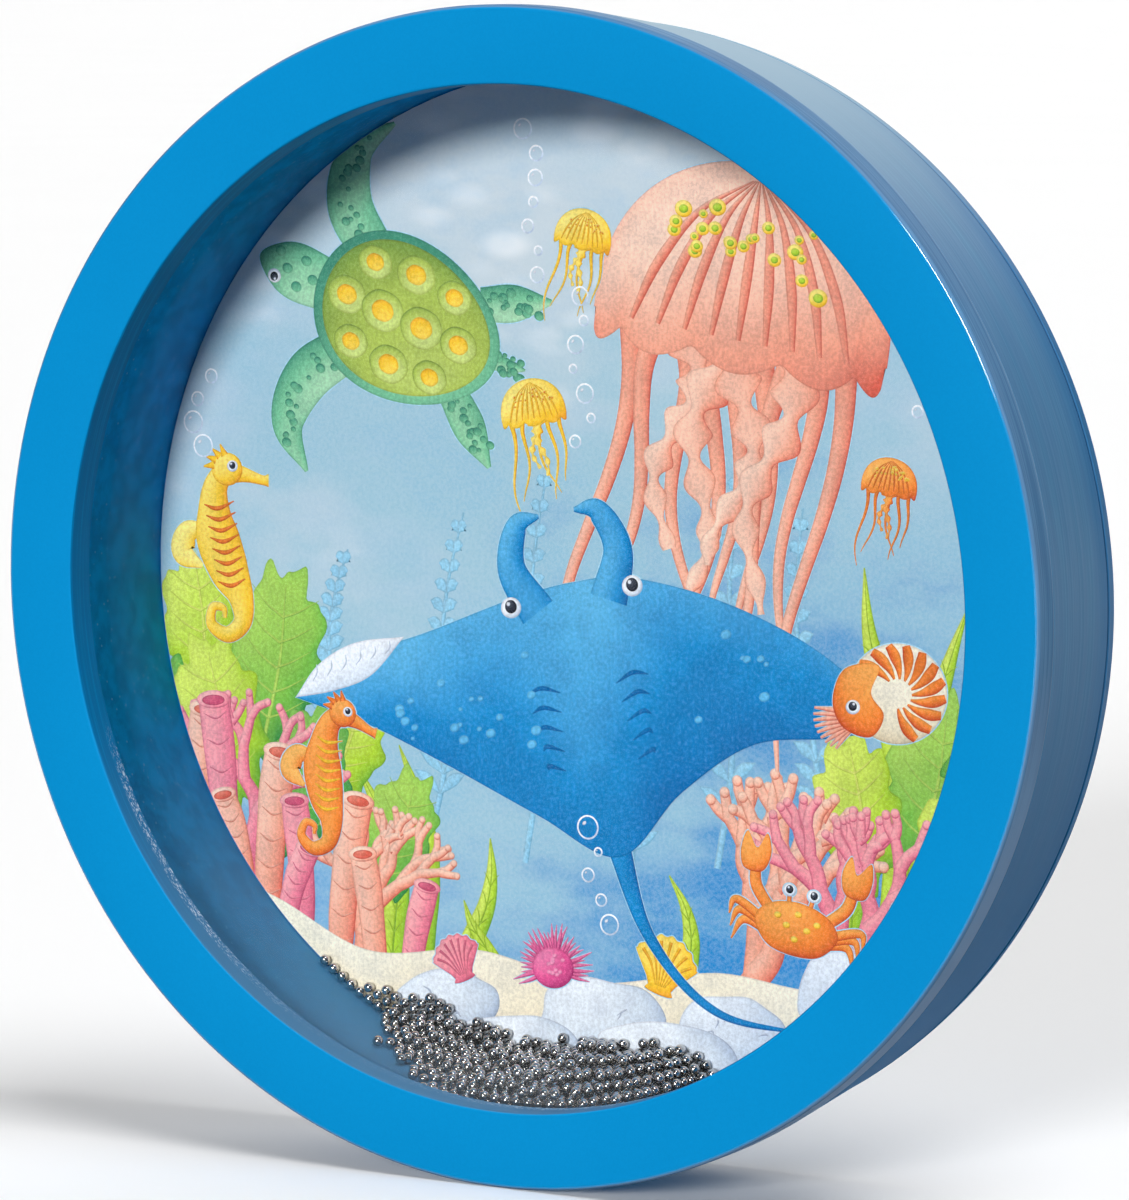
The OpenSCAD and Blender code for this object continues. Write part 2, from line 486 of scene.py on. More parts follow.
@dataclass(frozen=True)
class SeaWash:
    """The sheet's ground: a water wash, pale and dappled above and deep blue below."""

    pale: tuple = linear(210, 223, 230)
    mid: tuple = linear(162, 204, 222)
    deep: tuple = linear(10, 140, 210)
    glint: tuple = linear(250, 253, 254)
    bloom: tuple = linear(108, 184, 222)
    fibre: tuple = linear(236, 244, 247)

    def build(self) -> bpy.types.Material:
        """Makes the material."""
        g = Graph("sea_wash")
        x, _, z = g.axes()
        drift = g.noise(g.place(), 16, 3.0, 0.55)
        blot = g.noise(g.stretched((1, 1, 2.2), turn=(0, 0.35, 0)), 48, 4.0, 0.6)
        grain = g.noise(g.place(), PAPER_GRAIN, 2.0, 0.7)
        level = z * 10.0 + x * -1.6 + drift.rise(0.2, 0.8, -0.45, 0.45) + blot.rise(0.3, 0.7, -0.16, 0.16)
        ripple = g.cells(g.stretched((1, 1, 2.0), turn=(0, -0.2, 0)), 70)
        spots = ripple.rise(0.16, 0.5, 1.0, 0.0) * level.rise(0.25, 0.8)
        water = g.layers(self.deep,
                         (level.rise(-0.75, 0.02), self.mid),
                         (level.rise(0.05, 0.7), self.pale),
                         (spots * 0.85, self.glint),
                         (blot.rise(0.42, 0.62, 0.0, 0.22), self.bloom),
                         (grain.rise(0.3, 0.7, 0.0, 0.16), self.fibre))
        return g.principled({"Base Color": water, "Roughness": 0.62, "Specular IOR Level": 0.15,
                             "Normal": g.bump(grain, PAPER_RELIEF, 0.4)})


@dataclass(frozen=True)
class PrintedInk:
    """Printed water-colour and pencil: the mesh carries the ink, the nodes its grain and edges."""

    shade: tuple = linear(224, 226, 232)
    bare: tuple = linear(250, 250, 246)
    outline: tuple = linear(182, 170, 176)

    def build(self) -> bpy.types.Material:
        """Makes the material."""
        g = Graph("printed_ink")
        ink = g.attribute("ink", "Color")
        margin = g.attribute("margin")
        grain = g.noise(g.place(), PAPER_GRAIN, 2.0, 0.7)
        cloud = g.noise(g.place(), 170, 4.0, 0.6)
        hatch = g.noise(g.stretched((1500, 1, 260), turn=(0, 0.7, 0)), 1.0, 2.0, 0.6)
        colour = g.mix(cloud.rise(0.35, 0.7, 0.0, 0.6), ink, g.mix(1.0, ink, self.shade, "MULTIPLY"))
        pale = g.mix(0.5, colour, g.mix(1.0, colour, colour, "ADD"))
        colour = g.layers(colour,
                          (hatch.rise(0.45, 0.75, 0.0, 0.3), pale),
                          (grain.rise(0.35, 0.65, 0.0, 0.5), pale),
                          (grain.rise(0.5, 0.7, 0.0, 0.04), self.bare))
        edge = margin.rise(0.05, 0.45, 0.35, 0.0)
        colour = g.mix(edge, colour, g.mix(1.0, colour, self.outline, "MULTIPLY"))
        return g.principled({"Base Color": colour, "Roughness": 0.6, "Specular IOR Level": 0.15,
                             "Normal": g.bump(grain, PAPER_RELIEF, 0.4)})


@dataclass(frozen=True)
class StudioPaper:
    """Plain pale paper with hardly any cloud, for the floor, or lit from within, for the backdrop."""

    name: str
    darkest: float
    lightest: float
    cloud_scale: float
    roughness: float
    specular: float = 0.5
    lit: bool = False

    def build(self) -> bpy.types.Material:
        """Makes the material."""
        g = Graph(self.name)
        cloud = g.noise(g.place(), self.cloud_scale, 2.0, 0.5)
        tone = g.mix(cloud, (*[self.darkest] * 3, 1), (*[self.lightest] * 3, 1))
        values = {"Base Color": tone, "Roughness": self.roughness, "Specular IOR Level": self.specular}
        glow = {"Emission Color": tone, "Emission Strength": 1.0} if self.lit else {}
        return g.principled({**values, **glow})


FLOOR_PAPER = StudioPaper("studio_floor", 0.93, 0.95, cloud_scale=3, roughness=0.7)
GLOW_PAPER = StudioPaper("studio_glow", 0.98, 1.0, cloud_scale=0.05, roughness=1.0, specular=0.0, lit=True)


# Objects


def placed(name: str, data: bpy.types.ID) -> bpy.types.Object:
    """An object of that name in the scene."""
    made = bpy.data.objects.new(name, data)
    bpy.context.scene.collection.objects.link(made)
    return made


def mesh_object(name: str, verts: np.ndarray, quads: np.ndarray,
                material: bpy.types.Material) -> bpy.types.Object:
    """Makes an object from points and quads.

    Args:
        name: its name.
        verts: the points, one per row, in metres.
        quads: four point numbers per row.
        material: its finish.

    Returns:
        The object, in the scene.
    """
    mesh = bpy.data.meshes.new(name)
    mesh.vertices.add(len(verts))
    mesh.vertices.foreach_set("co", verts.astype(np.float32).ravel())
    mesh.loops.add(quads.size)
    mesh.loops.foreach_set("vertex_index", quads.astype(np.int32).ravel())
    mesh.polygons.add(len(quads))
    mesh.polygons.foreach_set("loop_start", np.arange(0, quads.size, 4, dtype=np.int32))
    mesh.update(calc_edges=True)
    mesh.validate()
    mesh.materials.append(material)
    return placed(name, mesh)


def angles(steps: int) -> np.ndarray:
    """Angles at even steps once round."""
    return np.linspace(0, math.tau, steps, endpoint=False)


def columns(*parts: np.ndarray) -> np.ndarray:
    """A table with one row for each point, from its columns."""
    return np.stack(parts, 1)


def grid_quads(rows: int, cols: int) -> np.ndarray:
    """The quads of a grid whose points are numbered along its rows."""
    r, c = np.meshgrid(np.arange(rows - 1), np.arange(cols - 1), indexing="ij")
    a = (r * cols + c).reshape(-1)
    return columns(a, a + cols, a + cols + 1, a + 1)


def way(angle: float) -> np.ndarray:
    """The direction at an angle: its cosine and sine."""
    return np.array([math.cos(angle), math.sin(angle)])


def directions(line: np.ndarray, k: int) -> tuple[np.ndarray, np.ndarray]:
    """The directions along a line of points at point k and to the left of it."""
    along = (line[k + 1] - line[k]) / np.linalg.norm(line[k + 1] - line[k])
    return along, np.array([-along[1], along[0]])


# Drawing kit


@dataclass(frozen=True)
class Tone:
    """Three shades of one colour, each as display red, green and blue."""

    mid: tuple[int, int, int]
    light: tuple[int, int, int]
    dark: tuple[int, int, int]

    def at(self, shade: np.ndarray) -> np.ndarray:
        """Ink for a shade from -1, dark, over 0, middle, to 1, light.

        Args:
            shade: an array of any shape.

        Returns:
            Linear colours, with one axis more than shade.
        """
        mid, light, dark = (np.array(linear(*c)[:3]) for c in (self.mid, self.light, self.dark))
        up = np.clip(shade, 0, 1)[..., None]
        down = np.clip(-shade, 0, 1)[..., None]
        return mid + (light - mid) * up + (dark - mid) * down


class Ink:
    """The tones of the picture."""

    BLUE = Tone((12, 138, 202), (98, 184, 226), (0, 98, 166))
    WHITE = Tone((236, 241, 246), (252, 252, 252), (176, 196, 218))
    CORAL = Tone((243, 164, 136), (253, 216, 192), (222, 96, 76))
    ROSE = Tone((238, 128, 146), (252, 186, 182), (204, 78, 110))
    PINK = Tone((226, 84, 144), (248, 156, 190), (176, 48, 110))
    YELLOW = Tone((252, 204, 52), (255, 236, 130), (236, 150, 36))
    ORANGE = Tone((244, 134, 50), (254, 186, 96), (208, 76, 36))
    LIME = Tone((178, 212, 52), (226, 236, 116), (112, 172, 48))
    LEAF = Tone((120, 186, 70), (190, 220, 100), (52, 140, 66))
    FERN = Tone((84, 166, 72), (160, 206, 92), (30, 116, 70))
    SHELL = Tone((176, 196, 86), (216, 230, 140), (126, 158, 68))
    SKIN = Tone((120, 194, 150), (186, 226, 186), (66, 144, 116))
    STONE = Tone((208, 218, 228), (244, 247, 249), (146, 164, 190))
    SAND = Tone((236, 224, 196), (250, 243, 224), (206, 186, 152))
    HAZE = Tone((142, 200, 226), (170, 214, 233), (112, 184, 218))
    BLACK = Tone((32, 38, 52), (90, 96, 110), (14, 16, 24))


@dataclass
class Patch:
    """A printed shape as a grid of points, with its ink and the distance to its outline in millimetres."""

    points: np.ndarray
    ink: np.ndarray
    margin: np.ndarray


LIGHT_FROM = np.array([-0.55, 0.83])


def smooth(values: Sequence, count: int, closed: bool = False) -> np.ndarray:
    """A smooth curve through points.

    Between two points the value is the cubic whose slope at each end is half the step between
    that point's neighbours.

    Args:
        values: the points, one per row, or plain numbers.
        count: how many values come back.
        closed: whether the curve returns to its start.

    Returns:
        The values along the curve, with the last equal to the first if it is closed.
    """
    p = np.asarray(values, float)
    if p.ndim == 1:
        p = p[:, None]
    if closed:
        ring, spans = np.concatenate([p[-1:], p, p[:2]]), len(p)
    else:
        ring, spans = np.concatenate([2 * p[:1] - p[1:2], p, 2 * p[-1:] - p[-2:-1]]), len(p) - 1
    t = np.linspace(0, spans, count)
    k = np.minimum(t.astype(int), spans - 1)
    u = (t - k)[:, None]
    a, b, c, d = ring[k], ring[k + 1], ring[k + 2], ring[k + 3]
    out = 0.5 * (2 * b + (c - a) * u + (2 * a - 5 * b + 4 * c - d) * u**2 + (3 * b - a - 3 * c + d) * u**3)
    return out[:, 0] if np.asarray(values).ndim == 1 else out


def ribbon(spine: Sequence, halves: Sequence[float], tone: Tone, steps: int = 48, across: int = 9,
           turn: float = 0.9, fade: Sequence[float] = (0.0,), rim: float = 0.35) -> Patch:
    """A strip along a curve: the point at (s, w) is spine(s) + w * half(s) * normal(s).

    Args:
        spine: points of the middle line.
        halves: half widths at even steps along it.
        tone: its colour.
        steps: points along.
        across: points across.
        turn: how round the shading makes it.
        fade: extra lightness at even steps along it.
        rim: how much the edges darken.

    Returns:
        The patch.
    """
    line = smooth(spine, steps)
    slope = np.gradient(line, axis=0)
    slope /= np.linalg.norm(slope, axis=1, keepdims=True) + TINY
    normal = columns(-slope[:, 1], slope[:, 0])
    half = np.clip(smooth(halves, steps), 0.02, None)
    w = np.linspace(-1, 1, across)
    points = line[:, None] + w[None, :, None] * half[:, None, None] * normal[:, None]
    lit = (normal @ LIGHT_FROM)[:, None] * w[None, :]
    along = np.interp(np.linspace(0, 1, steps), np.linspace(0, 1, len(fade)), fade)[:, None]
    shade = turn * lit + along + 0.25 * (1 - w[None, :] ** 2) - rim * np.abs(w[None, :]) ** 5
    return Patch(points, tone.at(shade), (1 - np.abs(w[None, :])) * half[:, None])


def blob(outline: Sequence, tone: Tone, centre: tuple[float, float] | None = None, steps: int = 72,
         rings: int = 12, turn: float = 0.8, rim: float = 0.35, lift: float = 0.0) -> Patch:
    """A filled outline: the point at (t, v) is centre + v * (outline(t) - centre).

    Args:
        outline: points round the shape, seen whole from the centre.
        tone: its colour.
        centre: the point that the rings grow from, or the mean of the outline.
        steps: points round.
        rings: rings from the centre to the outline.
        turn: how round the shading makes it.
        rim: how much the edge darkens.
        lift: extra lightness all over.

    Returns:
        The patch.
    """
    edge = smooth(outline, steps + 1, closed=True)
    middle = np.mean(edge[:-1], axis=0) if centre is None else np.asarray(centre, float)
    v = np.linspace(0.0, 1, rings) ** 0.8
    out = edge - middle
    points = middle + v[:, None, None] * out[None]
    reach = np.linalg.norm(out, axis=1)
    facing = (out / (reach[:, None] + TINY)) @ LIGHT_FROM
    outward = v[:, None]
    shade = turn * facing * outward**1.5 + 0.3 * (1 - outward**2) - rim * outward**8 + lift
    return Patch(points, tone.at(shade), (1 - outward) * reach)


def sheet(top: Sequence, low: Sequence, tone: Tone, shade: Callable[[np.ndarray, np.ndarray], np.ndarray],
          steps: int = 81, rows: int = 25) -> Patch:
    """A field between two curves: the point at (u, v) is (1 - v) * top(u) + v * low(u).

    Args:
        top: points of the upper curve, from left to right.
        low: points of the lower curve, from left to right.
        tone: its colour.
        shade: lightness as a function of u from -1 to 1 and v from 0 to 1.
        steps: points along the curves.
        rows: points between them.

    Returns:
        The patch.
    """
    a, b = smooth(top, steps), smooth(low, steps)
    u, v = np.linspace(-1, 1, steps)[:, None], np.linspace(0, 1, rows)[None, :]
    points = a[:, None] * (1 - v[..., None]) + b[:, None] * v[..., None]
    ends = np.abs(u[:, :1]) * -20 + 20
    reach = np.linalg.norm(a - b, axis=1)[:, None] * np.minimum(v, 1 - v)
    return Patch(points[::-1], tone.at(shade(u, v) + 0 * points[..., 0])[::-1], np.minimum(reach, ends)[::-1])


def stroke(points: Sequence, halves: Sequence[float], tone: Tone, steps: int, *fade: float) -> Patch:
    """A fine line: a ribbon three points across and without a dark rim."""
    return ribbon(points, halves, tone, steps, 3, fade=fade, rim=0.0)


def ellipse(wide: float, high: float, steps: int) -> np.ndarray:
    """Points of an ellipse round the origin: its half width times cosine, its half height times sine."""
    t = angles(steps)
    return columns(wide * np.cos(t), high * np.sin(t))


def oval(x: float, z: float, wide: float, high: float, tone: Tone, tilt: float = 0.0, **look: float) -> Patch:
    """A filled ellipse at a place, turned by tilt degrees."""
    steps, rings = (20, 4) if wide < 4 else (48, 9)
    outline = turned(ellipse(wide, high, 12), tilt) + (x, z)
    return blob(outline, tone, centre=(x, z), steps=steps, rings=rings, **look)


def bubble(x: float, z: float, radius: float, half: float = 0.17) -> list[Patch]:
    """A bubble: a thin ring, half a line's width to each side of the radius, and a glint."""
    t, w = np.linspace(0, math.tau, 29), np.linspace(-1, 1, 3)
    reach = radius + w[:, None] * half
    points = np.stack([x + reach * np.cos(t), z + reach * np.sin(t)], -1)
    facing = (columns(np.cos(t), np.sin(t)) @ LIGHT_FROM)[None] * np.ones_like(reach)
    ring = Patch(points, Ink.WHITE.at(facing * 0.8), np.full(reach.shape, 0.6))
    off = 0.35 * radius
    return [ring, oval(x - off, z + off, 0.22 * radius, 0.15 * radius, Ink.WHITE, tilt=40)]


def turned(points: Sequence, degrees: float) -> np.ndarray:
    """Points turned round the origin, anticlockwise."""
    a = math.radians(degrees)
    return np.asarray(points, float) @ np.array([[math.cos(a), math.sin(a)], [-math.sin(a), math.cos(a)]])


def moved(patches: Sequence[Patch], x: float, z: float, degrees: float = 0.0, scale: float = 1.0,
          flip: bool = False) -> list[Patch]:
    """Patches scaled, turned and put at a place.

    Args:
        patches: shapes drawn round the origin.
        x: place to the right.
        z: place upwards.
        degrees: turn, anticlockwise.
        scale: size.
        flip: whether left and right change first.

    Returns:
        The moved patches.
    """
    out = []
    for p in patches:
        points = p.points[:, ::-1] * (-scale, scale) if flip else p.points * scale
        ink, margin = (p.ink[:, ::-1], p.margin[:, ::-1]) if flip else (p.ink, p.margin)
        out.append(Patch(turned(points, degrees) + (x, z), ink, margin * scale))
    return out


def haloed(patches: Sequence[Patch], grow: float = 0.22) -> list[Patch]:
    """The patches with a pale copy of each beneath, larger all round, as water-colour's pale edge.

    A copy's point is its grid's middle line plus the way out from it, lengthened by grow. A grid whose
    first row is all one point has that point in place of the line.
    """
    under = []
    for p in patches:
        round_point = np.ptp(p.points[0], axis=0).max() < 1e-6
        middle = p.points[:1] if round_point else p.points.mean(1, keepdims=True)
        out = p.points - middle
        larger = 1 + grow / np.maximum(np.linalg.norm(out, axis=-1).max(), 0.5)
        pale = Ink.HAZE.at(np.ones(p.points.shape[:2]))
        under.append(Patch(middle + out * larger, pale, p.margin * 0 + 2))
    return under + list(patches)


@dataclass
class PrintLayer:
    """A layer of printed shapes, one mesh, cut off at a circle with the radius limit.

    A shape lies a hair above those that it may cover.
    """

    name: str
    patches: list[Patch] = field(default_factory=list)
    levels: list[int] = field(default_factory=list)
    limit: float = 93.65

    def add(self, *patches: Patch) -> None:
        """Puts shapes on top of those there."""
        self.patches.extend(p for p in patches if np.linalg.norm(p.points, axis=-1).min() < self.limit)

    def build(self, material: bpy.types.Material, sheet_y: float, step_y: float) -> bpy.types.Object:
        """Makes the mesh: the quads of every grid, cut off at the limit of the sheet.

        Args:
            material: the ink.
            sheet_y: the sheet's front.
            step_y: distance between two levels.

        Returns:
            The object, riding on the drum.
        """
        verts, inks, margins, faces, start = [], [], [], [], 0
        for level, patch in zip(self.levels, self.patches):
            rows, cols = patch.points.shape[:2]
            reach = np.linalg.norm(patch.points, axis=-1, keepdims=True)
            flat = (patch.points * np.minimum(1, self.limit / np.maximum(reach, 1))).reshape(-1, 2) * MM
            beyond = (reach[..., 0] > self.limit).reshape(-1)
            verts.append(columns(flat[:, 0], np.full(len(flat), sheet_y - step_y * level), flat[:, 1]))
            inks.append(patch.ink.reshape(-1, 3))
            margins.append(np.broadcast_to(patch.margin, (rows, cols)).reshape(-1))
            quads = grid_quads(rows, cols)
            quads = quads[~beyond[quads].all(1)]
            one, two = (flat[quads[:, k + 2]] - flat[quads[:, k]] for k in (0, 1))
            away = one[:, 0] * two[:, 1] < one[:, 1] * two[:, 0]
            quads[away] = quads[away, ::-1]
            faces.append(quads + start)
            start += rows * cols
        made = mesh_object(self.name, np.concatenate(verts), np.concatenate(faces), material)
        colour = made.data.attributes.new("ink", "FLOAT_COLOR", "POINT")
        ink = np.c_[np.concatenate(inks), np.ones(start)]
        colour.data.foreach_set("color", ink.astype(np.float32).ravel())
        edge = made.data.attributes.new("margin", "FLOAT", "POINT")
        edge.data.foreach_set("value", np.concatenate(margins).astype(np.float32))
        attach(made, Body.DRUM.value)
        return made


def stack_levels(layers: Sequence[PrintLayer]) -> int:
    """Gives every patch the lowest level above all earlier ones whose boxes touch its own.

    Args:
        layers: the layers from the farthest to the nearest.

    Returns:
        The highest level.
    """
    lows, highs, levels = np.zeros((0, 2)), np.zeros((0, 2)), np.zeros(0, int)
    for layer in layers:
        for patch in layer.patches:
            low, high = patch.points.min((0, 1)), patch.points.max((0, 1))
            touching = ((lows < high) & (highs > low)).all(1)
            level = 1 + (levels[touching].max() if touching.any() else 0)
            layer.levels.append(int(level))
            lows, highs, levels = np.r_[lows, [low]], np.r_[highs, [high]], np.r_[levels, level]
    return int(levels.max())


# Picture


@dataclass
class SeaPicture:
    """The printed sea on the sheet: animals, plants and the sea bed."""

    sheet_y: float
    step_y: float = 0.0000012
    seed: int = 7

    def manta(self) -> list[Patch]:
        """A large blue ray seen from above, wings spread, with a pale belly showing on one wing tip."""
        lead = [(-58, 10), (-46, 15), (-30, 17), (-12, 20), (0, 21), (12, 20), (29, 13), (45, 2), (57, -12)]
        trail = [(-58, 10), (-44, 3), (-30, -6), (-14, -17), (0, -26), (14, -17), (29, -11), (44, -12)]
        trail.append(lead[-1])

        def back(u: np.ndarray, v: np.ndarray) -> np.ndarray:
            """Light along the front edge and the spine, dark behind, with soft ripples."""
            ridge = np.exp(-((u / 0.16) ** 2)) * (1 - v)
            ripple = 0.10 * np.sin(8 * u + 3 * v) + 0.06 * np.sin(17 * u - 5 * v)
            return 0.62 - 1.15 * v**1.1 + 0.3 * ridge - 0.35 * u + ripple

        parts = [ribbon([(0, -22), (3, -40), (13, -54), (30, -60)], [2.4, 1.1, 0.7, 0.2], Ink.BLUE, 40, 5,
                        fade=(-0.3, -0.5)),
                 sheet(lead, trail, Ink.BLUE, back)]
        curl = [(-58, 10), (-52, 15), (-44, 17.5), (-34, 17)]
        under = [(-58, 10), (-50, 10), (-42, 11.5), (-34, 17)]
        parts.append(sheet(curl, under, Ink.WHITE, lambda u, v: 0.5 - 1.0 * v, 31, 9))
        for k in range(6):
            x = -54 + 3.1 * k
            line = [(x, 12.2 + 0.5 * k), (x + 1.2, 13.6 + 0.4 * k), (x + 1.4, 15 + 0.35 * k)]
            parts.append(stroke(line, [0.05, 0.16, 0.05], Ink.WHITE, 8, -0.8))
        for side in (-1, 1):
            parts.append(ribbon([(side * 7, 17), (side * 10.5, 25), (side * 8, 32), (side * 3.5, 33)],
                                [3.6, 2.8, 2.0, 0.4], Ink.BLUE, 30, 7, fade=(0.1, 0.3)))
            for k in range(5):
                y = 3 - 3.3 * k
                parts.append(ribbon([(side * (5.5 + 0.4 * k), y), (side * (9 + 0.3 * k), y + 1.3),
                                     (side * (12 - 0.4 * k), y + 0.6)], [0.08, 0.4, 0.08], Ink.BLUE, 12, 3,
                                    fade=(-1.0,)))
            parts += self.eye(side * 12, 18.6, 2.0)
        parts += self.speckles(46, (-38, 40), (-9, 13), Ink.BLUE, 0.9, 11, 0.012)
        return parts

    def eye(self, x: float, z: float, size: float) -> list[Patch]:
        """A white eye with a dark pupil and a glint."""
        pupil, glint = size * 0.58, size * 0.18
        return [oval(x, z, size, size * 0.9, Ink.WHITE),
                oval(x, z + 0.1 * size, pupil, pupil, Ink.BLACK),
                oval(x - 0.2 * size, z + 0.35 * size, glint, glint, Ink.WHITE)]

    def speckles(self, count: int, across: tuple[float, float], upward: tuple[float, float], tone: Tone,
                 lift: float, keep_off: float, narrow: float) -> list[Patch]:
        """Small spots at random places, none nearer to the middle than keep_off."""
        rng = np.random.default_rng(self.seed)
        spots = []
        for _ in range(count):
            x, y, r = rng.uniform(*across), rng.uniform(*upward), rng.uniform(0.4, 1.1)
            if abs(x) > keep_off:
                spots.append(oval(x, y * (1 - narrow * abs(x)), r, r * 0.8, tone, lift=lift, rim=0.0))
        return spots

    def jelly(self, tone: Tone, spot: Tone, arms: int = 9, frills: int = 4) -> list[Patch]:
        """A jellyfish: wavy arms and frills under a domed bell with a scalloped hem, bands and spots."""
        rng = np.random.default_rng(self.seed + 3)
        parts: list[Patch] = []
        s = np.linspace(0, 1, 9)
        for k in range(arms):
            x, length, sway = -17 + 34 * k / (arms - 1), rng.uniform(36, 60), rng.uniform(-8, 8)
            wave, phase = rng.uniform(2.0, 4.5), rng.uniform(0, 6)
            spine = columns(x * (1 - 0.2 * s) + sway * s + wave * np.sin(phase + 5.5 * s) * s**0.5,
                              -1 - length * s)
            parts.append(ribbon(spine, [1.7, 1.3, 1.0, 0.75, 0.3], tone, 70, 5, fade=(-0.4, 0.25)))
        s = np.linspace(0, 1, 15)
        for k in range(frills):
            x = 5 * (k - (frills - 1) / 2)
            spine = columns(x + 2.4 * np.sin(2.2 * k + 7 * s), -1 - (30 + 5 * k % 9) * s)
            frill = (2.4 + 1.2 * np.sin(np.linspace(0, 34, 45) + k)) * np.linspace(1.2, 0.35, 45)
            parts.append(ribbon(spine, frill, tone, 120, 9, fade=(0.05, 0.5)))
        t = np.linspace(math.pi, 0, 41)
        dome = columns(23 * np.cos(t), 24 * np.sin(t) ** 0.8)
        hem = columns(23 * np.cos(t) * 0.985, -1.5 - 2.4 * np.abs(np.sin(t * 5)) - 1.2 * np.sin(t))
        hem[[0, -1], 1] = 0.0

        def bell(u: np.ndarray, v: np.ndarray) -> np.ndarray:
            """Light at the left, darker to the sides and to the hem, with one soft band."""
            return 0.55 - 0.55 * u - 1.1 * np.abs(u) ** 3 + 0.25 * np.sin(v * 5) - 0.5 * v**4

        parts.append(sheet(dome, hem, tone, bell, 121, 21))
        for k in range(9):
            a = (k - 4) / 4.6
            parts.append(ribbon([(1.2 * a, 21.5), (10 * a, 16), (16 * a, 8), (19.5 * a, -0.5)],
                                [0.1, 0.5, 0.8, 0.4], tone, 26, 5, fade=(-0.35, -0.6), rim=0.0))
        for _ in range(24):
            a, r, size = rng.uniform(0.3, 2.84), rng.uniform(0.4, 0.9), rng.uniform(0.6, 1.35)
            x, y = 20 * r * math.cos(a), 4 + 17 * r * math.sin(a)
            parts += [oval(x, y, size * 1.15, size, Ink.YELLOW, lift=0.3, rim=0.1),
                      oval(x, y, size * 0.6, size * 0.5, spot, lift=-0.2, rim=0.0)]
        return parts

    def turtle(self) -> list[Patch]:
        """A sea turtle swimming, seen from above and a little behind."""
        rng = np.random.default_rng(self.seed + 5)
        parts: list[Patch] = []
        limbs = [
            ([(9, 9), (16, 18), (17, 28), (10, 35)], [4.4, 5.0, 3.6, 0.4]),
            ([(9, -9), (18, -16), (20, -26), (14, -34)], [4.4, 5.0, 3.6, 0.4]),
            ([(-15, 9), (-21, 14), (-27, 19)], [3.2, 3.4, 0.5]),
            ([(-15, -9), (-22, -12), (-29, -15)], [3.2, 3.4, 0.5]),
            ([(-20, 0), (-25, -0.5), (-28, -1)], [1.8, 1.2, 0.2]),
        ]
        for spine, halves in limbs:
            parts.append(ribbon(spine, halves, Ink.SKIN, 40, 9))
            for q in smooth(spine, 9)[1:-2]:
                for d in rng.uniform(-1.9, 1.9, (3, 2)):
                    r = rng.uniform(0.45, 0.95)
                    parts.append(oval(q[0] + d[0], q[1] + d[1], r * 1.2, r, Ink.SKIN, lift=-0.75, rim=0))
        head = [(15, 3.6), (22, 5.6), (28, 5.0), (33, 1.4), (33, -1.4), (28, -4.8), (22, -5.4), (15, -3.6)]
        parts.append(blob(head, Ink.SKIN, centre=(24, 0), steps=48, rings=9))
        for x, y in ((24, 2.8), (27, 0.2), (23.5, -2.6), (21, 0.3), (29.5, -2.4)):
            parts.append(oval(x, y, 1.2, 1.0, Ink.SKIN, lift=-0.7, rim=0))
        parts += self.eye(29.3, 2.6, 1.5)
        t = angles(24)
        egg = columns(21 * np.cos(t) - 1, (15.5 + 2.0 * np.cos(t)) * np.sin(t))
        for share, tone, lift in ((1, Ink.SKIN, -0.4), (0.9, Ink.SHELL, -0.3)):
            parts.append(blob(egg * share, tone, centre=(-1, 0), steps=90, rings=12, turn=0.7, lift=lift))
        beside = [(9.2, 8, 3.7), (0, 9, 4.2), (-9.2, 8, 3.7)]
        plates = [(13, 0, 4.2), (4.6, 0, 4.6), (-4.4, 0, 4.6), (-13, 0, 4.0), *beside]
        plates += [(x, -y, r) for x, y, r in beside]
        for x, y, r in plates:
            plate = ellipse(r * 1.05, r * 0.86, 6)
            parts.append(blob(plate + (x, y), Ink.SHELL, steps=36, rings=6, turn=0.6, lift=0.25, rim=0.6))
            spot = plate * 0.52 + (x, y)
            parts.append(blob(spot, Ink.YELLOW, steps=24, rings=4, turn=0.4, lift=-0.15, rim=0.0))
        return parts

    def seahorse(self, tone: Tone, band: Tone) -> list[Patch]:
        """A seahorse: curled tail, ringed belly, crest, fin and snout."""
        fin = [(-4.2, 5), (-8.6, 4.2), (-10, 0.6), (-6.2, -2)]
        back = [(0.6, 15), (-1.8, 12), (-2.6, 8), (-2.4, 3), (-0.6, -3), (1.4, -8), (1.2, -12.5)]
        tail = [(-2.2, -14.6), (-5.4, -12.6), (-4.8, -9.6), (-2.6, -9.8), (-2.4, -11.6)]
        halves = [2.0, 2.6, 3.4, 4.6, 4.2, 2.7, 1.9, 1.5, 1.15, 0.9, 0.7, 0.4]
        snout = [(0.5, 14.6), (4.5, 13.8), (8.2, 12.6), (9.6, 12.4)]
        parts = [ribbon(fin, [0.4, 2.2, 2.4, 0.5], tone, 24, 7, fade=(0.5, 0.7)),
                 ribbon(back + tail, halves, tone, 90, 9),
                 ribbon(snout, [2.4, 1.4, 0.9, 1.2], tone, 26, 7),
                 oval(1.0, 15.0, 3.3, 3.0, tone, lift=0.1)]
        for k in range(8):
            s = k / 8
            y = 9 - 16 * s
            parts.append(ribbon([(-4.6 + 1.6 * s, y), (-1.8 + 1.6 * s, y - 0.9), (1.8 + 1.0 * s, y + 0.2)],
                                [0.1, 0.42, 0.12], band, 12, 3, fade=(-0.4,)))
        for k in range(4):
            a = 1.5 + 0.42 * k
            spike = [(0.6, 15) + 2.5 * way(a), (0.6, 15) + 4.6 * way(a + 0.2)]
            parts.append(ribbon(spike, [0.8, 0.15], tone, 10, 3, fade=(-0.3,)))
        return parts + self.eye(2.2, 15.5, 1.15)

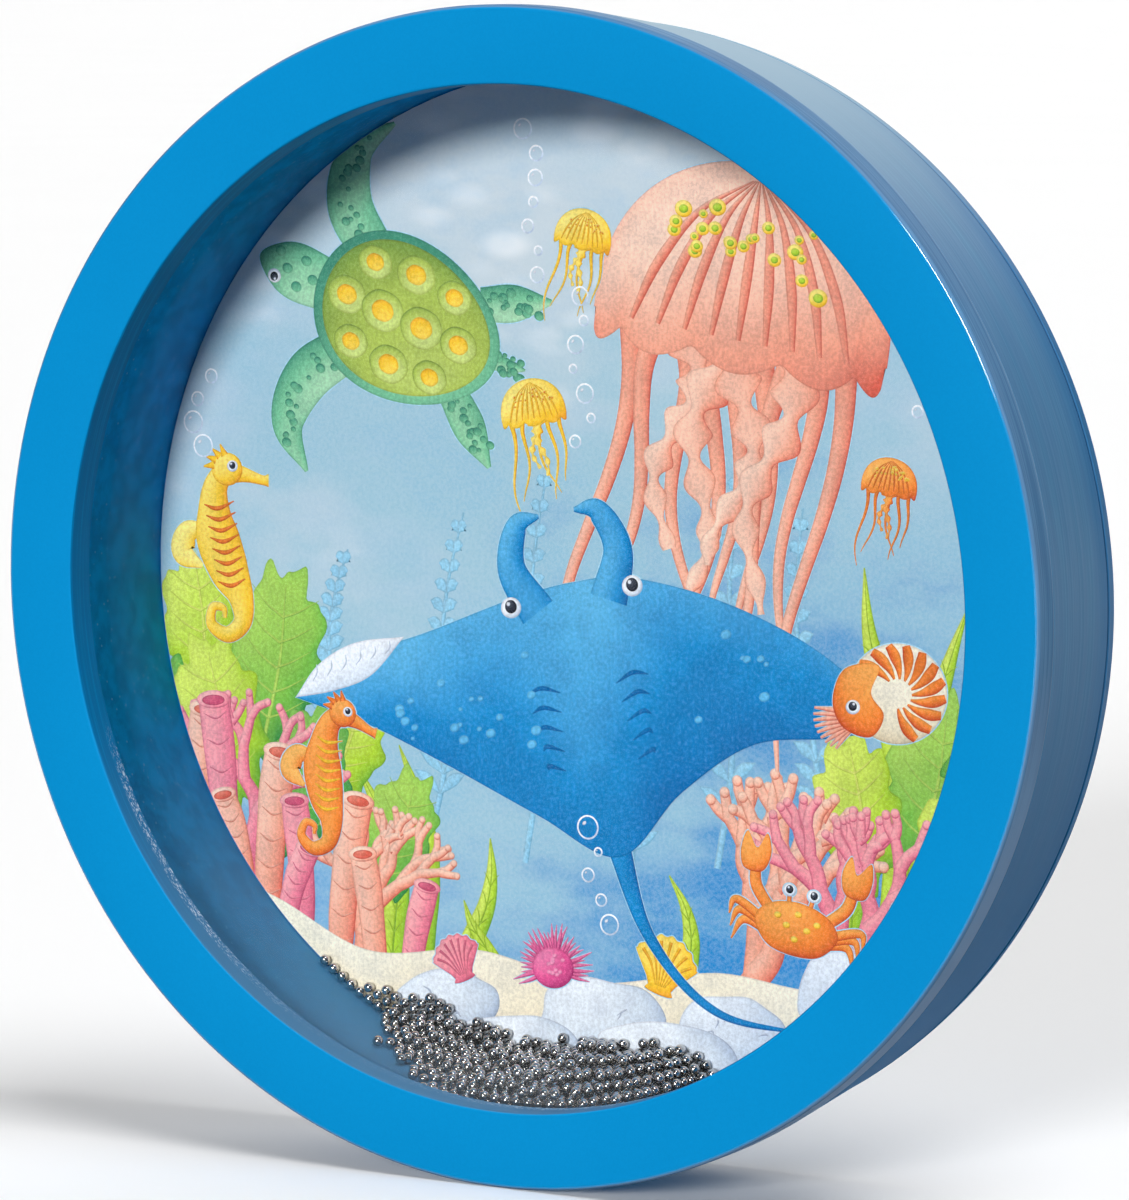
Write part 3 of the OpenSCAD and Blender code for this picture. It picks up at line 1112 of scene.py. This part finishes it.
    def nautilus(self) -> list[Patch]:
        """A nautilus: a pale round shell with rust-coloured flames, a hood and short arms."""
        parts = []
        for k in range(9):
            c, d = way(math.radians(-62 + 11 * k))
            arm = [(9, -3), (12 + 2 * c, -3 + 3.4 * d), (13 + 7.5 * c, -3 + 7 * d)]
            parts.append(ribbon(arm, [1.0, 0.75, 0.25], Ink.CORAL, 20, 5))
        parts.append(blob(ellipse(11.5, 10.5, 20), Ink.SAND, centre=(0, 0), steps=64, lift=0.2))
        for k in range(11):
            w = np.linspace(0.3, 1.0, 5)
            a = math.radians(48 + 21 * k) + 0.5 * (1 - w)
            spine = columns(w * 11.2 * np.cos(a), w * 10.2 * np.sin(a))
            parts.append(ribbon(spine, [0.25, 0.8, 1.25, 0.9], Ink.ORANGE, 22, 5, fade=(-0.2, -0.5), rim=0.1))
        hood = [(6, 1), (4, -4), (8, -8), (14, -5), (15.2, 1), (11, 7), (3, 6.5)]
        parts.append(blob(hood, Ink.ORANGE, centre=(9.4, 0.2), steps=56, rings=9))
        return parts + self.eye(10.8, -1.2, 1.7)

    def kelp(self, x: float, z: float, high: float, lean: float, wide: float, tone: Tone) -> list[Patch]:
        """One swaying blade with a darker rib and side veins."""
        s = np.linspace(0, 1, 7)
        spine = columns(x + lean * s**1.6 + 2.2 * np.sin(6.2 * s + x), z + high * s)
        halves = [wide * 0.7, wide, wide * 0.9, wide * 0.6, 0.15]
        parts = [ribbon(spine, halves, tone, 60, 9, fade=(-0.35, 0.25)),
                 stroke(spine, [0.26, 0.22, 0.16, 0.05], tone, 60, -0.8, -0.5)]
        line = smooth(spine, 22)
        for k in range(2, 18, 2):
            foot = line[k]
            along, across = directions(line, k)
            for side in (-1, 1):
                tip = foot + side * across * wide * 0.62 + along * 2.6
                vein = [foot, (foot + tip) / 2 + along * 0.3, tip]
                parts.append(stroke(vein, [0.1, 0.12, 0.03], tone, 8, -0.5))
        return parts

    def leaf(self, x: float, z: float, size: float, tilt: float, tone: Tone) -> list[Patch]:
        """A broad frilled leaf with a pale rib and veins."""
        t = angles(56)
        lobes = 1 + 0.10 * np.sin(9 * t + tilt) + 0.05 * np.sin(17 * t)
        edge = columns(0.58 * np.cos(t) * lobes, np.sin(t) * lobes + 0.9) * size
        rib = [(0, 0), (0.06 * size, 0.9 * size), (0, 1.7 * size)]
        parts = [blob(edge, tone, centre=(0, size * 0.85), steps=130, rings=12, turn=0.9),
                 stroke(rib, [0.45, 0.35, 0.1], tone, 24, 0.8, 0.5)]
        for k in range(5):
            y = size * (0.3 + 0.27 * k)
            for side in (-1, 1):
                tip = (side * 0.42 * size, y + 0.27 * size)
                vein = [(0.02 * size, y), (side * 0.2 * size, y + 0.1 * size), tip]
                parts.append(stroke(vein, [0.24, 0.2, 0.05], tone, 12, 0.7, 0.4))
        return moved(parts, x, z, tilt)

    def fan(self, x: float, z: float, size: float, tilt: float, tone: Tone, forks: int = 6) -> list[Patch]:
        """A fan coral: each branch is a strip that ends in two thinner and shorter ones."""
        rng = np.random.default_rng(int(abs(x * 7 + z)) + self.seed)
        parts: list[Patch] = []
        stems = [(0.0, 0.0, 0.0, size * 0.26, size * 0.075)]
        for fork in range(forks):
            grown = []
            for px, pz, heading, length, half in stems:
                bend = heading + rng.uniform(-0.25, 0.25)
                mid = (px + 0.5 * length * math.sin(heading), pz + 0.5 * length * math.cos(heading))
                end = (px + length * math.sin(bend), pz + length * math.cos(bend))
                halves = [half, half * 0.9, half * 0.8]
                parts.append(ribbon([(px, pz), mid, end], halves, tone, 14, 5, fade=(-0.3 + 0.1 * fork,)))
                if fork == forks - 1:
                    parts.append(oval(*end, half * 0.85, half * 0.85, tone, lift=0.35))
                spread = rng.uniform(0.26, 0.42)
                grown += [(*end, bend + side * spread, length * rng.uniform(0.78, 0.92), half * 0.82)
                          for side in (-1, 1)]
            stems = grown
        return moved(parts, x, z, tilt)

    def stone(self, x: float, z: float, wide: float, high: float, tone: Tone, seed: int) -> list[Patch]:
        """A rounded stone with a few soft cracks."""
        rng = np.random.default_rng(seed)
        t = angles(14)
        bumps = 1 + rng.uniform(-0.09, 0.09, 14)
        up = np.sign(np.sin(t)) * np.abs(np.sin(t)) ** 0.85
        edge = columns(wide * np.cos(t), high * up) * bumps[:, None]
        parts = [blob(edge, tone, centre=(0, 0), steps=72, rings=14, turn=0.85)]
        for _ in range(4):
            a, d = rng.uniform(-0.6, 0.6, 2) * (wide, high), rng.uniform(-0.3, 0.3, 2) * (wide, high)
            parts.append(stroke([a, a + d * 0.5 + 0.3, a + d], [0.05, 0.2, 0.05], tone, 12, -0.6))
        return moved(parts, x, z)

    def scallop(self, tone: Tone) -> list[Patch]:
        """A scallop shell with ribs."""
        a = np.linspace(1.15, -1.15, 31)
        edge = (1 + 0.03 * np.cos(a * 19))[:, None] * columns(7.2 * np.sin(a), 8 * np.cos(a)) - (0, 1)
        base = [(-2.6, -2.4), (-3.0, -3.8), (0, -4.2), (3.0, -3.8), (2.6, -2.4)]
        parts = [blob(np.concatenate([edge, base]), tone, centre=(0, 0.5), steps=90, rings=12, turn=0.7)]
        for k in range(-3, 4):
            c, d = way(k * 0.32)
            rib = [(0.3 * k, -2.6), (3.6 * d, 3.6 * c - 1), (6.3 * d, 7.0 * c - 1)]
            parts.append(stroke(rib, [0.12, 0.26, 0.36], tone, 16, -0.5, -0.8))
        return parts

    def urchin(self, tone: Tone) -> list[Patch]:
        """A sea urchin: thin spines round a knobbly ball."""
        rng = np.random.default_rng(self.seed + 9)
        parts = []
        for a in np.linspace(-0.35, math.pi + 0.35, 30):
            end = way(a) * rng.uniform(7, 9.4)
            spine = [(0, 0), end * 0.6 + rng.uniform(-0.3, 0.3, 2), end]
            parts.append(ribbon(spine, [0.5, 0.42, 0.08], tone, 14, 3, fade=(-0.4, 0.5)))
        parts.append(oval(0, 0, 4.6, 4.0, tone, lift=-0.1))
        return parts + [oval(*p, 0.5, 0.4, tone, lift=0.8, rim=0) for p in rng.uniform(-2.4, 2.4, (12, 2))]

    def crab(self) -> list[Patch]:
        """A small crab with raised claws."""
        parts: list[Patch] = []
        for side in (-1, 1):
            for k in range(3):
                leg = [(side * 5, -1.5 + k * 0.6), (side * (10.5 + k), 1.6 * k - 0.5),
                       (side * (12.5 + 0.6 * k), -4.6 + 2.2 * k)]
                parts.append(ribbon(leg, [0.9, 0.8, 0.15], Ink.ORANGE, 24, 5))
            arm = [(side * 5, 2), (side * 9, 6), (side * 10, 9.5)]
            parts.append(ribbon(arm, [1.1, 1.2, 1.1], Ink.ORANGE, 20, 5))
            claw = [(8.4, 9), (12.2, 8.8), (13.4, 12), (12.6, 15.6), (10.2, 13), (8.6, 16), (7.2, 12.6)]
            claw = [(side * x, y) for x, y in claw][::side]
            parts.append(blob(claw, Ink.ORANGE, centre=(side * 10, 10.6), steps=56, rings=8))
            parts.append(ribbon([(side * 2, 3.4), (side * 2.4, 6.4)], [0.5, 0.45], Ink.ORANGE, 8, 3))
            parts += self.eye(side * 2.5, 7, 1.3)
        back = [(8.5, 0.4), (6, 3.8), (0, 5.2), (-6, 3.8), (-8.5, 0.4), (-5.4, -3.6), (0, -4.6), (5.4, -3.6)]
        parts.append(blob(back, Ink.ORANGE, steps=60, rings=12))
        spots = ((-4, 2), (0, 3), (4, 2), (-2, 0.6), (2.2, 0.5), (0, -1.6))
        return parts + [oval(x, y, 0.75, 0.6, Ink.YELLOW) for x, y in spots]

    def bubbles(self, x: float, z: float, count: int, seed: int) -> list[Patch]:
        """A rising chain of bubbles."""
        rng = np.random.default_rng(seed)
        parts: list[Patch] = []
        for k in range(count):
            parts += bubble(x + rng.uniform(-3, 3), z + 4.4 * k, rng.uniform(0.7, 2.1))
        return parts

    def far_plants(self) -> list[Patch]:
        """Faint plants far back in the water."""
        parts: list[Patch] = []
        stems = ((-14, -52, 74, 4), (8, -56, 62, -5), (-34, -48, 60, 6), (26, -50, 84, 6), (46, -50, 66, -4),
                 (-58, -40, 44, 5))
        for x, z, high, lean in stems:
            s = np.linspace(0, 1, 6)
            spine = columns(x + lean * s + 1.5 * np.sin(7 * s), z + high * s)
            parts.append(ribbon(spine, [0.7, 0.6, 0.2], Ink.HAZE, 40, 3, rim=0.0))
            line = smooth(spine, 17)
            for k in range(2, 16):
                for side in (-1, 1):
                    tip = line[k] + np.array([side * 5.5, 4.2]) * (1.1 - k / 19)
                    blade = [line[k], (line[k] + tip) / 2 + (0, 0.6), tip]
                    parts.append(ribbon(blade, [0.15, 1.2, 0.1], Ink.HAZE, 14, 5, rim=0.0, turn=0.4))
        return parts

    def sea_bed(self, layer: PrintLayer) -> None:
        """Draws the sand, stones, shells, urchin and crab at the bottom."""
        shore = [(-93, -58), (-70, -62), (-48, -71), (-24, -69), (0, -73)]
        shore += [(26, -69), (50, -70), (74, -58), (93, -48)]
        deep = [(x, -95) for x in (-60, -46, -30, -15, 0, 15, 30, 46, 60)]
        layer.add(sheet(shore, deep, Ink.SAND, lambda u, v: 0.5 - 1.2 * v + 0.1 * np.sin(19 * u), 121, 20))
        stones = ((-30, -79, 11, 6), (2, -79, 13, 7), (30, -80, 11, 7), (54, -71, 12, 8), (16, -86, 15, 7),
                  (-14, -86, 13, 6), (70, -58, 10, 8))
        for k, (x, z, w, h) in enumerate(stones):
            layer.add(*self.stone(x, z, w, h, Ink.STONE, 20 + k))
        layer.add(*haloed(moved(self.urchin(Ink.PINK), -8, -71, 6, 0.95)))
        layer.add(*haloed(moved(self.scallop(Ink.YELLOW), 15, -70, -16, 1.0)))
        layer.add(*haloed(moved(self.scallop(Ink.ROSE), -28, -72, 24, 0.8)))
        layer.add(*haloed(moved(self.crab(), 42, -60, -10, 1.0)))

    def sponge(self, x: float, z: float, high: float, half: float, lean: float, tone: Tone) -> list[Patch]:
        """A tube sponge: a swelling stem with rings round it and a dark mouth in a pale lip."""
        shares = ((0, 0), (0.15, 0.35), (0.5, 0.7), (1, 1))
        spine = [(x + lean * across, z + high * up) for across, up in shares]
        halves = [half * share for share in (0.75, 0.95, 1, 1.12, 1.05)]
        parts = [ribbon(spine, halves, tone, 40, 11, fade=(-0.5, 0.0, 0.2))]
        line = smooth(spine, 14)
        for k in range(2, 13, 2):
            along, across = directions(line, k)
            side = across * half * 0.8
            crease = [line[k] - side, line[k] - along * half * 0.35, line[k] + side]
            parts.append(stroke(crease, [0.06, 0.2, 0.06], tone, 12, -0.35))
        tilt = -math.degrees(math.atan2(lean, high))
        end_x, end_z = line[-1]
        lip = oval(end_x, end_z, half * 1.18, half * 0.55, tone, tilt=tilt, lift=0.5)
        mouth = oval(end_x, end_z - 0.04 * half, half * 0.8, half * 0.32, tone, tilt=tilt, lift=-1.1)
        return [*parts, lip, mouth]

    def reef(self, layer: PrintLayer) -> None:
        """Draws the crowd of leaves, tube sponges and fan corals at the left."""
        leaves = ((-84, -26, 15, 4, Ink.LIME), (-71, -34, 18, -10, Ink.LEAF), (-90, -44, 15, 14, Ink.FERN),
                  (-58, -44, 14, -24, Ink.LIME), (-78, -46, 17, 10, Ink.LIME), (-64, -54, 15, -12, Ink.FERN),
                  (-46, -60, 13, -22, Ink.LEAF))
        sponges = ((-86, -58, 30, 3.0, 2, Ink.CORAL), (-79, -62, 36, 3.2, -3, Ink.ROSE),
                   (-70, -66, 31, 3.3, 3, Ink.CORAL), (-62, -70, 26, 2.8, -2, Ink.ROSE),
                   (-54, -74, 31, 3.1, 4, Ink.CORAL), (-46, -80, 27, 2.7, -3, Ink.CORAL),
                   (-75, -64, 20, 2.6, -5, Ink.CORAL), (-66, -70, 17, 2.4, 5, Ink.ROSE),
                   (-39, -82, 24, 2.5, 4, Ink.ROSE))
        for leaf in leaves:
            layer.add(*self.leaf(*leaf))
        layer.add(*self.fan(-74, -64, 34, 6, Ink.ROSE))
        layer.add(*self.fan(-50, -76, 30, -12, Ink.CORAL))
        for sponge in sponges:
            layer.add(*self.sponge(*sponge))

    def plants(self, layer: PrintLayer) -> None:
        """Draws the kelp, corals and leaves."""
        blades = ((-34, -84, 52, -6, 3.0), (-28, -86, 38, 7, 2.6), (-40, -80, 44, -9, 2.8),
                  (-20, -86, 26, -5, 2.2), (22, -86, 34, -6, 2.4), (62, -60, 66, -5, 3.2),
                  (70, -52, 52, 4, 2.8), (55, -62, 50, -8, 2.6), (78, -46, 50, 2, 2.6))
        leaves = ((66, -46, 16, -12, Ink.LEAF), (76, -36, 15, -26, Ink.LEAF), (56, -50, 14, 8, Ink.LIME),
                  (70, -56, 15, -18, Ink.LIME))
        for blade in blades:
            layer.add(*self.kelp(*blade, Ink.LIME))
        self.reef(layer)
        for leaf in leaves:
            layer.add(*self.leaf(*leaf))
        layer.add(*self.fan(30, -80, 44, -10, Ink.CORAL))
        layer.add(*self.fan(50, -76, 38, -16, Ink.ROSE))

    def layers(self) -> list[PrintLayer]:
        """The picture's layers, from the farthest to the nearest."""
        names = ("far_plants", "plants", "sea_bed", "drifters", "swimmers", "bubbles")
        layers = [PrintLayer("print_" + name) for name in names]
        far, plants, bed, drifters, swimmers, air = layers
        far.add(*self.far_plants())
        self.plants(plants)
        self.sea_bed(bed)
        for drawn in (
            moved(self.jelly(Ink.CORAL, Ink.LIME), 30, 46, -9, 1.3),
            moved(self.turtle(), -40, 47, 160, 0.98),
        ):
            drifters.add(*haloed(drawn))
        for drawn in (
            moved(self.jelly(Ink.YELLOW, Ink.ORANGE, 5, 2), -12, 30, 10, 0.3),
            moved(self.jelly(Ink.YELLOW, Ink.ORANGE, 5, 2), -2, 62, -12, 0.26),
            moved(self.jelly(Ink.ORANGE, Ink.YELLOW, 5, 2), 60, 20, -8, 0.24),
            moved(self.manta(), 0, -22, 12, 1.08),
            moved(self.seahorse(Ink.YELLOW, Ink.ORANGE), -78, 2, 6, 1.05),
            moved(self.seahorse(Ink.ORANGE, Ink.YELLOW), -56, -40, -8, 0.9),
            moved(self.nautilus(), 62, -16, 12, 0.85, flip=True),
        ):
            swimmers.add(*haloed(drawn))
        chains = ((-84, 22, 4, 1), (-2, 26, 7, 2), (68, 34, 5, 3), (-14, 56, 7, 4), (2, -62, 5, 5))
        for chain in chains:
            air.add(*self.bubbles(*chain))
        LOG.info("picture: %d levels of ink", stack_levels(layers))
        return layers

    def draw(self, ink: bpy.types.Material) -> list[bpy.types.Object]:
        """Draws every layer.

        Args:
            ink: the print's material.

        Returns:
            The objects.
        """
        return [layer.build(ink, self.sheet_y, self.step_y) for layer in self.layers()]


# Sub-assemblies


def arc(centre: tuple[float, float], radius: float, start: float, stop: float, steps: int = 9) -> np.ndarray:
    """Points of an arc in a section, from start to stop degrees.

    Each is the centre plus the radius times the angle's cosine and sine.
    """
    a = np.radians(np.linspace(start, stop, steps))
    return np.asarray(centre) + radius * columns(np.cos(a), np.sin(a))


@dataclass
class TurnedPiece:
    """A piece turned about the drum's axis from a section of radius and depth in millimetres.

    The point at angle t and section point k is (r(k) * sin(t), y(k), -r(k) * cos(t)). The section runs
    towards the front on the outside, so that the faces look outwards.
    """

    name: str
    section: np.ndarray
    closed: bool = True
    steps: int = 480
    sharp_degrees: float = 24.0
    weld: float = 1e-6

    def build(self, material: bpy.types.Material, slot: Slot, stands_for: str) -> bpy.types.Object:
        """Makes the piece in place of a solid.

        Args:
            material: its finish.
            slot: the slot that the finish belongs to; not used.
            stands_for: the solid's node.

        Returns:
            The object, riding on the drum.
        """
        t = angles(self.steps)
        r, y = self.section.T * MM
        verts = np.stack([r[:, None] * np.sin(t), np.broadcast_to(y[:, None], (len(y), self.steps)),
                          -r[:, None] * np.cos(t)], -1).reshape(-1, 3)
        bands = len(r) if self.closed else len(r) - 1
        k, i = np.meshgrid(np.arange(bands), np.arange(self.steps), indexing="ij")
        after, beside = (k + 1) % len(r) * self.steps, (i + 1) % self.steps
        k = k * self.steps
        quads = np.stack([k + i, k + beside, after + beside, after + i], -1).reshape(-1, 4)
        made = mesh_object(self.name, verts, quads, material)
        mesh = made.data
        work = bmesh.new()
        work.from_mesh(mesh)
        bmesh.ops.remove_doubles(work, verts=work.verts, dist=self.weld)
        work.to_mesh(mesh)
        work.free()
        mesh.shade_smooth()
        mesh.set_sharp_from_angle(angle=math.radians(self.sharp_degrees))
        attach(made, Body.DRUM.value)
        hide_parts(stands_for)
        LOG.info("%s: %d faces", self.name, len(mesh.polygons))
        return made


@dataclass
class DrumBody:
    """The wooden shell, its window and the picture inside. Sizes are in millimetres."""

    outer_r: float = 105.0
    back_r: float = 102.0
    opening_r: float = 91.1
    bore_r: float = 94.0
    ledge_r: float = 98.0
    seat_r: float = 97.0
    panel_r: float = 96.7
    face_y: float = -19.0
    hoop_y: float = -13.0
    ledge_y: float = -11.0
    panel_y: float = 15.0
    panel_rear_y: float = 18.5
    rear_y: float = 19.0
    groove_y: float = 15.0
    face_round: float = 0.9
    opening_round: float = 0.5
    rear_round: float = 1.2
    front_bevel: float = 0.2
    groove_depth: float = 0.45
    panel_bevel: float = 0.3

    def ring_section(self) -> np.ndarray:
        """The face ring: flat, with both front edges rounded."""
        wide, small = self.face_round, self.opening_round
        outer = arc((self.outer_r - wide, self.face_y + wide), wide, 0, -90)
        inner = arc((self.opening_r + small, self.face_y + small), small, -90, -180)
        return np.concatenate([[(self.outer_r, self.hoop_y)], outer, inner, [(self.opening_r, self.hoop_y)]])

    def hoop_section(self) -> np.ndarray:
        """The hoop: tapered and grooved outside, straight inside, with ledges for window and panel."""
        share = (self.rear_y - self.groove_y) / (self.rear_y - self.hoop_y)
        groove_r = self.back_r + (self.outer_r - self.back_r) * share
        cut, bevel = self.groove_depth, self.front_bevel
        rear = arc((self.back_r - self.rear_round, self.rear_y - self.rear_round), self.rear_round, 90, 0)
        side = [(groove_r, self.groove_y + cut), (groove_r - cut, self.groove_y),
                (groove_r, self.groove_y - cut), (self.outer_r, self.hoop_y + bevel),
                (self.outer_r - bevel, self.hoop_y)]
        inside = [(self.ledge_r, self.hoop_y), (self.ledge_r, self.ledge_y), (self.bore_r, self.ledge_y),
                  (self.bore_r, self.panel_y), (self.seat_r, self.panel_y), (self.seat_r, self.rear_y)]
        return np.concatenate([rear, side, inside])

    def panel_section(self) -> np.ndarray:
        """The back panel: a disc with a bevelled rear edge, from pole to pole."""
        r, rear, front, bevel = self.panel_r, self.panel_rear_y, self.panel_y, self.panel_bevel
        return np.array([(0, rear), (r / 2, rear), (r - bevel, rear), (r, rear - bevel), (r, front),
                         (r / 2, front), (0, front)])

    def dress(self) -> None:
        """Turns the wooden pieces, gives the solids their finishes and draws the picture."""
        face, side = FacePaint().build(), SidePaint().build()
        finishes = {"face_ring": face, "hoop": side, "back_panel": side,
                    "window": ClearAcrylic().build(), "picture_sheet": SeaWash().build()}
        for name, material in finishes.items():
            set_finish(name, material)
            LOG.info("%s: %s", name, material.name)
        panel = TurnedPiece("painted_back_panel", self.panel_section(), closed=False)
        TurnedPiece("painted_face_ring", self.ring_section()).build(face, Slot.FACE, "face_ring")
        TurnedPiece("painted_hoop", self.hoop_section()).build(side, Slot.SIDE, "hoop")
        panel.build(side, Slot.SIDE, "back_panel")
        sheet_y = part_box("picture_sheet")[0][1]
        for made in SeaPicture(sheet_y).draw(PrintedInk().build()):
            LOG.info("%s: %d faces", made.name, len(made.data.polygons))


@dataclass
class BallHeap:
    """The loose balls, row by row."""

    prefix: str = "balls_"

    def dress(self) -> None:
        """Gives every row of balls its steel."""
        steel = BallSteel().build()
        for name in sorted(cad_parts):
            if name.startswith(self.prefix):
                set_finish(name, steel)
                LOG.info("%s: %s", name, steel.name)


def toward(azimuth: float, elevation: float) -> Vector:
    """The way from the drum to a place so many degrees right of the front and above the floor."""
    a, e = math.radians(azimuth), math.radians(elevation)
    return Vector((math.sin(a) * math.cos(e), -math.cos(a) * math.cos(e), math.sin(e)))


def aim(made: bpy.types.Object, place: Vector, ahead: Vector) -> None:
    """Puts a camera or lamp at a place and lets it look along a direction."""
    made.location = place
    made.rotation_mode = "QUATERNION"
    made.rotation_quaternion = ahead.to_track_quat("-Z", "Y")


def set_finish(name: str, material: bpy.types.Material) -> None:
    """Puts a material on a solid's node."""
    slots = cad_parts[name].data.materials
    slots.clear()
    slots.append(material)


@dataclass
class Studio:
    """Floor, light and camera."""

    floor_z: float
    floor_reach: float = 70.0
    floor_steps: int = 41
    crowding: float = 4.0
    backdrop_reach: float = 68.0
    backdrop_high: float = 60.0
    backdrop_steps: int = 96
    above: float = 0.09
    below: float = 0.2
    azimuth: float = 29.711
    elevation: float = 6.225
    distance: float = 9.595 * DRUM_R
    focal_pixels: float = 5752.0
    film_width: float = 36.0
    nearest: float = 0.01
    farthest: float = 100.0
    target: Triple = (0.1294 * DRUM_R, -0.019, 0.0117 * DRUM_R)
    lamp_distance: float = 3.0

    def camera(self) -> None:
        """Puts the camera at the photograph's angle: the aim plus the distance along the line of sight."""
        data = bpy.data.cameras.new("camera")
        data.sensor_width = self.film_width
        data.lens = self.focal_pixels * data.sensor_width / max(PICTURE_SIZE)
        data.clip_start = self.nearest
        data.clip_end = self.farthest
        made = placed("camera", data)
        back = toward(self.azimuth, self.elevation)
        aim(made, Vector(self.target) + back * self.distance, -back)
        bpy.context.scene.camera = made

    def sun(self, name: str, azimuth: float, elevation: float, strength: float, spread: float) -> None:
        """Adds an even light from far away.

        Args:
            name: its name.
            azimuth: degrees to the right of the front, seen from above.
            elevation: degrees above the floor.
            strength: brightness on a face that looks at it.
            spread: how many degrees wide it looks, which softens its shadows.
        """
        data = bpy.data.lights.new(name, "SUN")
        data.energy = strength
        data.angle = math.radians(spread)
        back = toward(azimuth, elevation)
        aim(placed(name, data), back * self.lamp_distance, -back)

    def world(self) -> None:
        """White surroundings, brighter below, where a pale table would throw light back."""
        g = Graph("studio", surroundings=True)
        around = g.node("ShaderNodeTexCoord", out="Generated")
        split = g.node("ShaderNodeSeparateXYZ", None, {0: around}, out=2)
        strength = split.rise(-0.3, 0.3, self.below, self.above)
        back = g.node("ShaderNodeBackground", None, {"Color": (1, 1, 1, 1), "Strength": strength})
        g.node("ShaderNodeOutputWorld", None, {"Surface": back})
        bpy.context.scene.world = g.owner

    def floor(self) -> None:
        """A floor under the rim, wide enough to fill the picture to its top."""
        n = self.floor_steps
        reach = np.sinh(np.linspace(-1, 1, n) * self.crowding) / np.sinh(self.crowding) * self.floor_reach
        u, v = np.meshgrid(reach, reach, indexing="ij")
        verts = np.stack([u, v, np.full_like(u, self.floor_z)], -1).reshape(-1, 3)
        made = mesh_object("floor", verts, grid_quads(n, n), FLOOR_PAPER.build())
        made.visible_diffuse = False

    def backdrop(self) -> None:
        """A white ring at the floor's edge, for the camera alone and only if its range reaches so far.

        The point at angle t and height h is (reach * cos(t), reach * sin(t), h).
        """
        steps = self.backdrop_steps
        t = angles(steps)
        rim = columns(np.cos(t), np.sin(t)) * self.backdrop_reach
        verts = np.concatenate([np.c_[rim, np.full(steps, h)] for h in (self.floor_z, self.backdrop_high)])
        i = np.arange(steps)
        after = (i + 1) % steps
        quads = columns(i, i + steps, after + steps, after)
        made = mesh_object("backdrop", verts, quads, GLOW_PAPER.build())
        made.visible_diffuse = False
        made.visible_glossy = False
        made.visible_shadow = False

    def build(self) -> None:
        """Makes the floor, the backdrop, the lights and the camera."""
        bpy.context.scene.view_settings.view_transform = "Standard"
        self.floor()
        self.backdrop()
        self.world()
        self.sun("key", 6.0, 16.0, 2.65, 14.0)
        self.sun("top", 70.0, 65.0, 1.85, 35.0)
        self.sun("side", 95.0, 3.0, 0.5, 30.0)
        self.sun("rear", 200.0, 35.0, 1.0, 60.0)
        self.camera()
        LOG.info("studio: floor, backdrop, four lights and the camera")


def main() -> None:
    """Builds the drum's looks and the studio."""
    logging.basicConfig(level=logging.INFO, format="%(message)s")
    DrumBody().dress()
    BallHeap().dress()
    Studio(floor_z=SOLID_BOX[0][2]).build()


if __name__ == "__main__":
    main()
